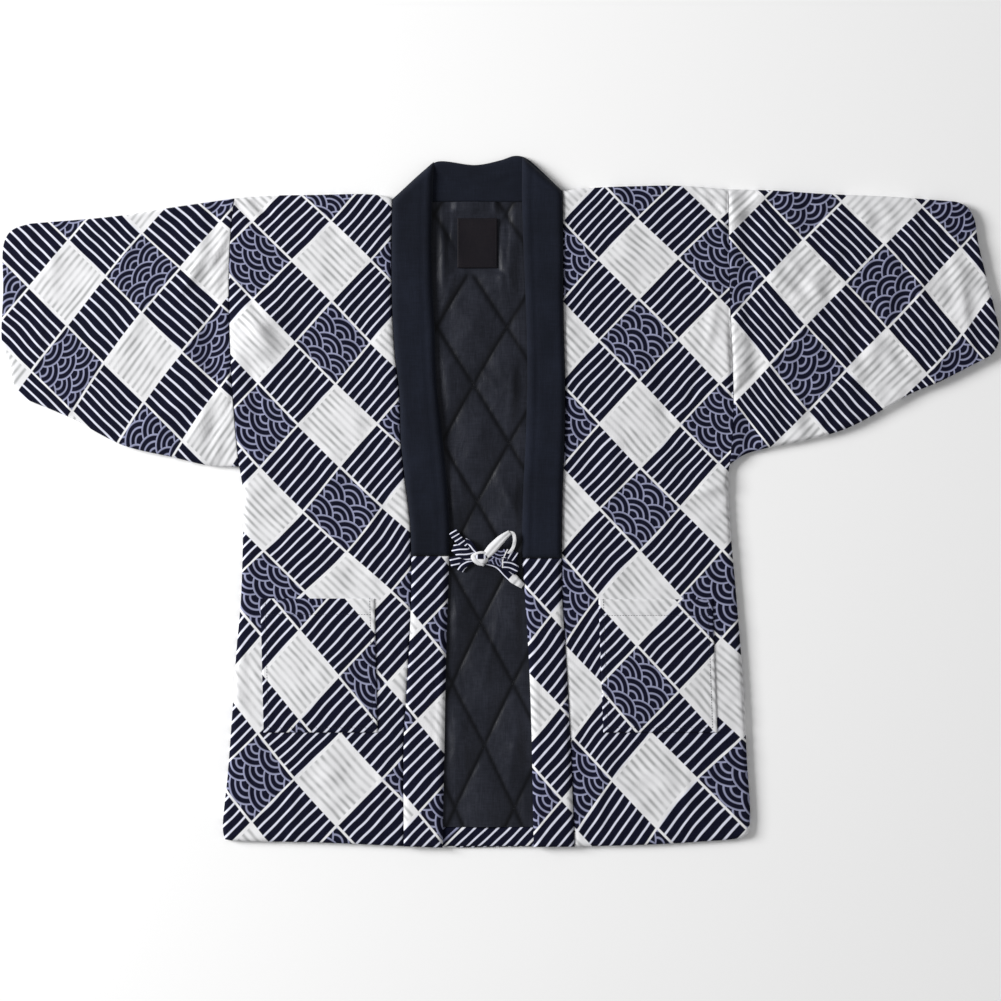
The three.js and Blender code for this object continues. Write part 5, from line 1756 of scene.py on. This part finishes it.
def join_meshes(name: str, parts: Sequence[bpy.types.Object]) -> bpy.types.Object:
    """Several objects as one, under a new name."""
    points, faces, counts, start = [], [], [], 0
    for part in parts:
        mesh = part.data
        places = np.zeros(len(mesh.vertices) * 3)
        mesh.vertices.foreach_get("co", places)
        points.append(places.reshape(-1, 3) / MM)
        faces += [[start + i for i in face.vertices] for face in mesh.polygons]
        start += len(mesh.vertices)
        if mesh.uv_layers:
            pairs = np.zeros((len(mesh.vertices), 2))
            for loop, entry in zip(mesh.loops, mesh.uv_layers[PRINT_MAP].data):
                pairs[loop.vertex_index] = entry.uv
            counts.append(pairs)
        bpy.data.objects.remove(part)
    return new_object(name, np.vstack(points), faces, np.vstack(counts) if counts else None)


class PatchPockets:
    """The two patch pockets, with their turned mouths and the stitches round them."""

    SPACING = 2.8
    EDGE_STEPS = (0, 0.3, 0.9, 1.8, 3.2)
    EDGE_DROP = 1.5
    EDGE_ROUND = 3.0
    SEWN_AT = 5.0
    SEWN_WIDTH = 1.4
    SEWN_DIP = 0.55
    HEM_DEPTH = 20.0
    HEM_WIDTH = 1.6
    HEM_DIP = 0.7
    BELLY = 0.9
    SLACK = 0.3
    SUNK = 0.6
    THREAD_LIFT = 0.12

    def __init__(self, finishes: Finishes) -> None:
        """Keeps the finishes and draws the wadding."""
        self.finishes = finishes
        self.wadding = Wadding(53, 26.0, 80.0)

    def build(self) -> None:
        """Makes both pockets and their stitches."""
        prints = (PRINT_ON_POCKET_LEFT, PRINT_ON_POCKET_RIGHT)
        for pocket, rows in zip(POCKETS, prints):
            self._pocket(pocket, Lattice(rows))

    def _pocket(self, pocket: PocketShape, lattice: Lattice) -> None:
        """One pocket.

        Args:
            pocket: its outline.
            lattice: its print.
        """
        ends = (pocket.left_at_foot, pocket.left), (pocket.right_at_foot, pocket.right)
        west, east = (
            Curve.straight(np.array((at_foot, pocket.foot)), np.array((at_mouth, pocket.mouth)))
            for at_foot, at_mouth in ends
        )
        panel = Panel(Patch.between(west, east), self.SPACING, self.EDGE_STEPS)
        edge = panel.edge
        base = FRONT_TOP + SEAM_GAP + POCKET_THICK
        sewn = np.exp(-(((edge - self.SEWN_AT) / self.SEWN_WIDTH) ** 2))
        drop = self.EDGE_DROP * (1 - rounded(edge, self.EDGE_ROUND)) + self.SEWN_DIP * sewn
        hem = self.HEM_DIP * np.exp(-(((panel.north - self.HEM_DEPTH) / self.HEM_WIDTH) ** 2))
        belly = self.BELLY * smooth_step(edge, 8, 50)
        belly = belly + self.SLACK * self.wadding.rise(panel.x, panel.y) * smooth_step(edge, 4, 18)
        sides = np.minimum.reduce([panel.west, panel.east, panel.south])
        gathers = puckers(np.abs(sides - self.SEWN_AT), panel.x + panel.y, 0.3, 1.3)
        top = base - drop - hem + belly + gathers * smooth_step(edge, 0, 2)
        made = slab("printed_" + pocket.name, panel, top, FRONT_TOP - self.SUNK, lattice)
        dress(made, self.finishes.printed, "print_cotton", pocket.name)
        side = pocket.name.removeprefix("pocket_")
        self._stitches(side, panel, top)

    def _stitches(self, side: str, panel: Panel, top: np.ndarray) -> None:
        """Navy stitches down the sides and the foot, and along the turned mouth."""
        rows, columns = top.shape
        column = int(np.argmin(np.abs(panel.west[0] - self.SEWN_AT)))
        row = int(np.argmin(np.abs(panel.south[:, 0] - self.SEWN_AT)))
        mouth = int(np.argmin(np.abs(panel.north[:, 0] - self.HEM_DEPTH)))
        far = columns - 1 - column
        runs = [
            [(i, column) for i in range(rows - 2, row, -1)]
            + [(row, j) for j in range(column, far)]
            + [(i, far) for i in range(row, rows - 1)],
            [(mouth, j) for j in range(column, far + 1)],
        ]
        places = np.stack([panel.x, panel.y, top + self.THREAD_LIFT], -1)
        lines = [places[tuple(zip(*run))] for run in runs]
        sewing = StitchRun(pitch=3.4, length=2.5, thickness=0.6)
        stitches = sewing.build(f"pocket_stitches_{side}", lines, self.finishes.navy_thread)
        dress(stitches, self.finishes.navy_thread, "print_cotton")


class Strand(NamedTuple):
    """A flat strand of a tie, with the place, turn and size of the print's squares on it."""

    side: Side
    points: tuple[tuple[float, float, float], ...]
    widths: tuple[float, ...]
    thick: float
    print_at: tuple[float, float]
    print_turn: float
    square: float


class TieBow:
    """The two cloth ties, knotted in one small bow between the bands."""

    STRANDS = (
        Strand(
            Side.LEFT, ((-62.9, -78, 10), (-50, -75, 10.5), (-38, -73, 11.5), (-24, -72, 13)),
            (14, 13, 11, 9), 3.6, (0.5, 1.2), 90.0, 48.0,
        ),
        Strand(
            Side.LEFT, ((-60.5, -38.5, 11), (-53.5, -47, 12), (-45, -56, 13.5), (-30, -69, 15)),
            (12, 11, 8, 8), 3.2, (0.12, 1.2), 10.0, 40.0,
        ),
        Strand(
            Side.LEFT, ((-45, -50, 12), (-38, -54, 14), (-33, -62, 15), (-27, -70, 15.5)),
            (7, 8, 7, 6), 3.0, (0.5, 1.2), 80.0, 48.0,
        ),
        Strand(
            Side.LEFT, ((-60, -59, 12), (-52, -62, 15.5), (-42, -67, 16.5), (-29, -71, 15)),
            (9, 16, 14, 8), 4.6, (0.5, 1.2), 62.0, 44.0,
        ),
        Strand(
            Side.LEFT, ((-50.5, -88, 10.3), (-47, -81.5, 12), (-40, -76, 13.5), (-28, -73, 14)),
            (8, 10, 8, 7), 3.2, (0.5, 1.3), 100.0, 44.0,
        ),
        Strand(
            Side.RIGHT, ((28, -107, 10.2), (19, -100, 10.8), (9, -91, 11.5), (-3, -80, 12.8), (-18, -76, 14)),
            (7, 12, 11, 10, 8), 3.4, (0.5, 0.72), 90.0, 64.0,
        ),
        Strand(
            Side.RIGHT, ((-20, -71, 15), (-9, -58.5, 16.5), (3, -46.5, 17.5), (12, -39.5, 17)),
            (10, 13, 11, 6), 4.2, (0.12, 0.45), 0.0, 74.0,
        ),
        Strand(
            Side.RIGHT,
            ((9.5, -40, 17.2), (15.5, -41, 17.2), (17.6, -48, 16.6), (15.5, -59, 15.6), (9, -67, 14.4)),
            (4, 4.6, 4.4, 4, 3.4), 2.6, (0.3, 0.5), 0.0, 74.0,
        ),
        Strand(
            Side.RIGHT, ((-17, -73, 14.5), (-3, -68, 14.6), (9, -68, 13.8), (21, -71, 12.8)),
            (8, 12, 15, 12), 4.0, (1.5, 1.2), 20.0, 44.0,
        ),
        Strand(
            Side.RIGHT, ((-16, -75, 14), (-2, -75, 14), (11, -80, 13), (21, -89, 12)),
            (9, 13, 17, 10), 4.4, (1.4, 1.6), 70.0, 44.0,
        ),
        Strand(
            Side.RIGHT, ((-15.5, -66.5, 16), (-22, -64.8, 17.6), (-29, -65.8, 18.3), (-35, -69.6, 17.8)),
            (2.4, 3.4, 3.2, 5.0), 1.8, (0.15, 0.5), 0.0, 74.0,
        ),
        Strand(
            Side.RIGHT, ((-35.6, -66.6, 17.6), (-33, -72.4, 18.6), (-28, -77.6, 18.4), (-20.5, -80.8, 16.4)),
            (5.4, 7.0, 5.4, 2.6), 2.2, (0.15, 0.5), 0.0, 74.0,
        ),
    )
    # Cuts for the ties, in metres, which nothing here uses. Each has about half the area of its strands'
    # whole surface, and isn't their mean width and added lengths.
    CUT = {Side.LEFT: (0.016, 0.14), Side.RIGHT: (0.018, 0.19)}
    KNOT = (-25.0, -72.5, 14.2)
    KNOT_HALF = (10.5, 8.6, 5.8)
    KNOT_TURNS = 28
    KNOT_ROWS = 14
    KNOT_OPEN = 0.12
    KNOT_PLEAT = 0.07
    KNOT_PRINT = (0.5, 0.95)
    SQUARE = 70.0
    SECTION = 20
    STEP = 1.6
    LEAST_STEPS = 14
    FLATNESS = 0.8
    PLEATS = 15
    PLEAT_DEPTH = 0.16
    RIPPLE = 2.2
    RIPPLE_DEPTH = 0.25
    END_ROUND = 2.0

    def __init__(self, finishes: Finishes) -> None:
        """Keeps the finishes."""
        self.finishes = finishes

    def build(self) -> None:
        """Makes both ties."""
        for side in Side:
            parts = [self._strand(i, strand) for i, strand in enumerate(self.STRANDS) if strand.side is side]
            if side is Side.RIGHT:
                parts.append(self._knot())
            tie = join_meshes(f"printed_tie_{side.value}", parts)
            dress(tie, self.finishes.printed, "print_cotton", f"tie_{side.value}")

    def _counts(self, along: np.ndarray, across: np.ndarray, strand: Strand) -> np.ndarray:
        """Lattice counts on a strand, from millimetres along and across it."""
        turn = np.radians(strand.print_turn)
        u = (along * np.cos(turn) - across * np.sin(turn)) / strand.square
        v = (along * np.sin(turn) + across * np.cos(turn)) / strand.square
        return np.stack([strand.print_at[0] + u, strand.print_at[1] + v], -1)

    def _strand(self, index: int, strand: Strand) -> bpy.types.Object:
        """One strand: a soft flat tube with lengthwise pleats near the knot."""
        points = np.array(strand.points, float) + (0, 0, TIE_LIFT)
        curve = Curve.through(points)
        steps = max(self.LEAST_STEPS, round(curve.length / self.STEP))
        places = np.linspace(0, 1, steps + 1)
        centres = curve.at(places)
        tangents = np.gradient(centres, axis=0)
        sides = np.stack([-tangents[:, 1], tangents[:, 0], np.zeros(len(places))], -1)
        sides /= np.linalg.norm(sides, axis=1)[:, None]
        widths = np.interp(places * (len(strand.widths) - 1), range(len(strand.widths)), strand.widths)
        angle = np.linspace(0, 2 * np.pi, self.SECTION, endpoint=False)
        across, up = (np.sign(w) * np.abs(w) ** self.FLATNESS / 2 for w in (np.cos(angle), np.sin(angle)))
        pleat = self.PLEAT_DEPTH * np.sin(across * self.PLEATS + index) * (np.sin(angle) > 0)
        gather = (0.35 + 0.65 * places)[:, None]
        along_mm = (places * curve.length)[:, None]
        across_mm = across * widths[:, None]
        lift = strand.thick * (up + pleat * gather)
        lift = lift + self.RIPPLE_DEPTH * np.sin(along_mm / self.RIPPLE + 3 * across + index) * gather
        rings = centres[:, None] + across_mm[..., None] * sides[:, None]
        rings[..., 2] += lift * np.minimum(rounded(along_mm, self.END_ROUND), 1)
        ids = np.arange(rings.shape[0] * self.SECTION).reshape(-1, self.SECTION)
        faces = grid_faces(wrapped(ids).T)
        faces += [ids[0].tolist(), ids[-1][::-1].tolist()]
        counts = self._counts(np.repeat(along_mm, self.SECTION, 1), across_mm, strand).reshape(-1, 2)
        return new_object(f"strand_{index}", rings.reshape(-1, 3), faces, counts)

    def _knot(self) -> bpy.types.Object:
        """The knot: a tight wrap of the tie, with pleats round it."""
        spin = np.linspace(0, 2 * np.pi, self.KNOT_TURNS, endpoint=False)
        fall = np.linspace(self.KNOT_OPEN, np.pi - self.KNOT_OPEN, self.KNOT_ROWS)
        ring, around = np.meshgrid(fall, spin, indexing="ij")
        pleats = 1 + self.KNOT_PLEAT * np.cos(around * 2 + 5 * np.cos(ring))
        x = np.cos(ring) * self.KNOT_HALF[0]
        y = np.sin(ring) * np.cos(around) * self.KNOT_HALF[1] * pleats
        z = np.sin(ring) * np.sin(around) * self.KNOT_HALF[2] * pleats
        points = np.stack([x, y, z], -1) + np.array(self.KNOT) + (0, 0, TIE_LIFT)
        ids = np.arange(self.KNOT_ROWS * self.KNOT_TURNS).reshape(self.KNOT_ROWS, self.KNOT_TURNS)
        faces = grid_faces(wrapped(ids))
        faces += [ids[0][::-1].tolist(), ids[-1].tolist()]
        u, v = self.KNOT_PRINT
        counts = np.stack([u + x / self.SQUARE, v + (y + z) / self.SQUARE], -1)
        return new_object("knot", points.reshape(-1, 3), faces, counts.reshape(-1, 2))


@dataclass
class Studio:
    """Pale floor, soft light from the upper left, and the camera straight above.

    Each row of LIGHTS is a name, a place and a size in metres, and a power in watts.
    """

    LIGHTS: ClassVar[tuple] = (
        ("key", (-4.4, 1.2, 2.5), 2.1, 372.0),
        ("fill", (2.4, -1.2, 2.8), 2.6, 10.0),
    )

    lens_mm: float = 85.0
    sensor_mm: float = 36.0
    frame_mm: float = 1001 * MM_PER_PIXEL
    plane_mm: float = 9.0
    farthest: float = 50.0
    floor_size: float = 9.0
    floor_z: float = -0.0002
    sky_strength: float = 0.27

    def build(self) -> None:
        """Makes the camera, the floor and the lights."""
        self._camera()
        self._floor()
        self._lights()

    def _camera(self) -> None:
        """The camera, so high that a pixel is the photograph's on the garment's plane."""
        camera = bpy.data.cameras.new("camera")
        camera.lens = self.lens_mm
        camera.sensor_width = self.sensor_mm
        camera.clip_end = self.farthest
        placed = add_object("camera", camera)
        distance = self.frame_mm * self.lens_mm / self.sensor_mm
        placed.location = (0.0, 0.0, (distance + self.plane_mm) * MM)
        bpy.context.scene.camera = placed

    def _floor(self) -> None:
        """A plain pale floor, just under the garment."""
        half, z = self.floor_size / 2, self.floor_z
        rim = [(-half, -half, z), (half, -half, z), (half, half, z), (-half, half, z)]
        mesh = bpy.data.meshes.new("floor")
        mesh.from_pydata(rim, [], [(0, 1, 2, 3)])
        floor = add_object("floor", mesh)
        material, node = start_material("matte_white_paper")
        shader = node("ShaderNodeBsdfPrincipled", {
            "Base Color": linear("#fdfdfd"), "Roughness": 0.95, "Specular IOR Level": 0.1,
        })
        node("ShaderNodeOutputMaterial", shader)
        mesh.materials.append(material)

    def _lights(self) -> None:
        """A large soft key from the upper left, a weak fill from the right, and an even sky."""
        for name, place, size, power in self.LIGHTS:
            light = bpy.data.lights.new(name, "AREA")
            light.size = size
            light.energy = power
            lamp = add_object(name, light)
            lamp.location = place
            lamp.rotation_euler = (-Vector(place)).to_track_quat("-Z", "Y").to_euler()
        world = bpy.data.worlds.new("studio")
        world.use_nodes = True
        sky = next(node for node in world.node_tree.nodes if node.type == "BACKGROUND")
        sky.inputs["Color"].default_value = (1.0, 1.0, 1.0, 1.0)
        sky.inputs["Strength"].default_value = self.sky_strength
        bpy.context.scene.world = world
        bpy.context.scene.view_settings.view_transform = "Standard"


def main() -> None:
    """Builds the whole garment and its studio."""
    logging.basicConfig(level=logging.INFO, format="%(name)s %(message)s")
    Studio().build()
    finishes = Finishes()
    builders: tuple[Callable[[], None], ...] = (
        OuterBody(finishes).build,
        Sleeves(finishes).build,
        QuiltedInside(finishes).build,
        CollarAndBands(finishes).build,
        PatchPockets(finishes).build,
        TieBow(finishes).build,
    )
    for build in builders:
        build()


if __name__ == "__main__":
    main()
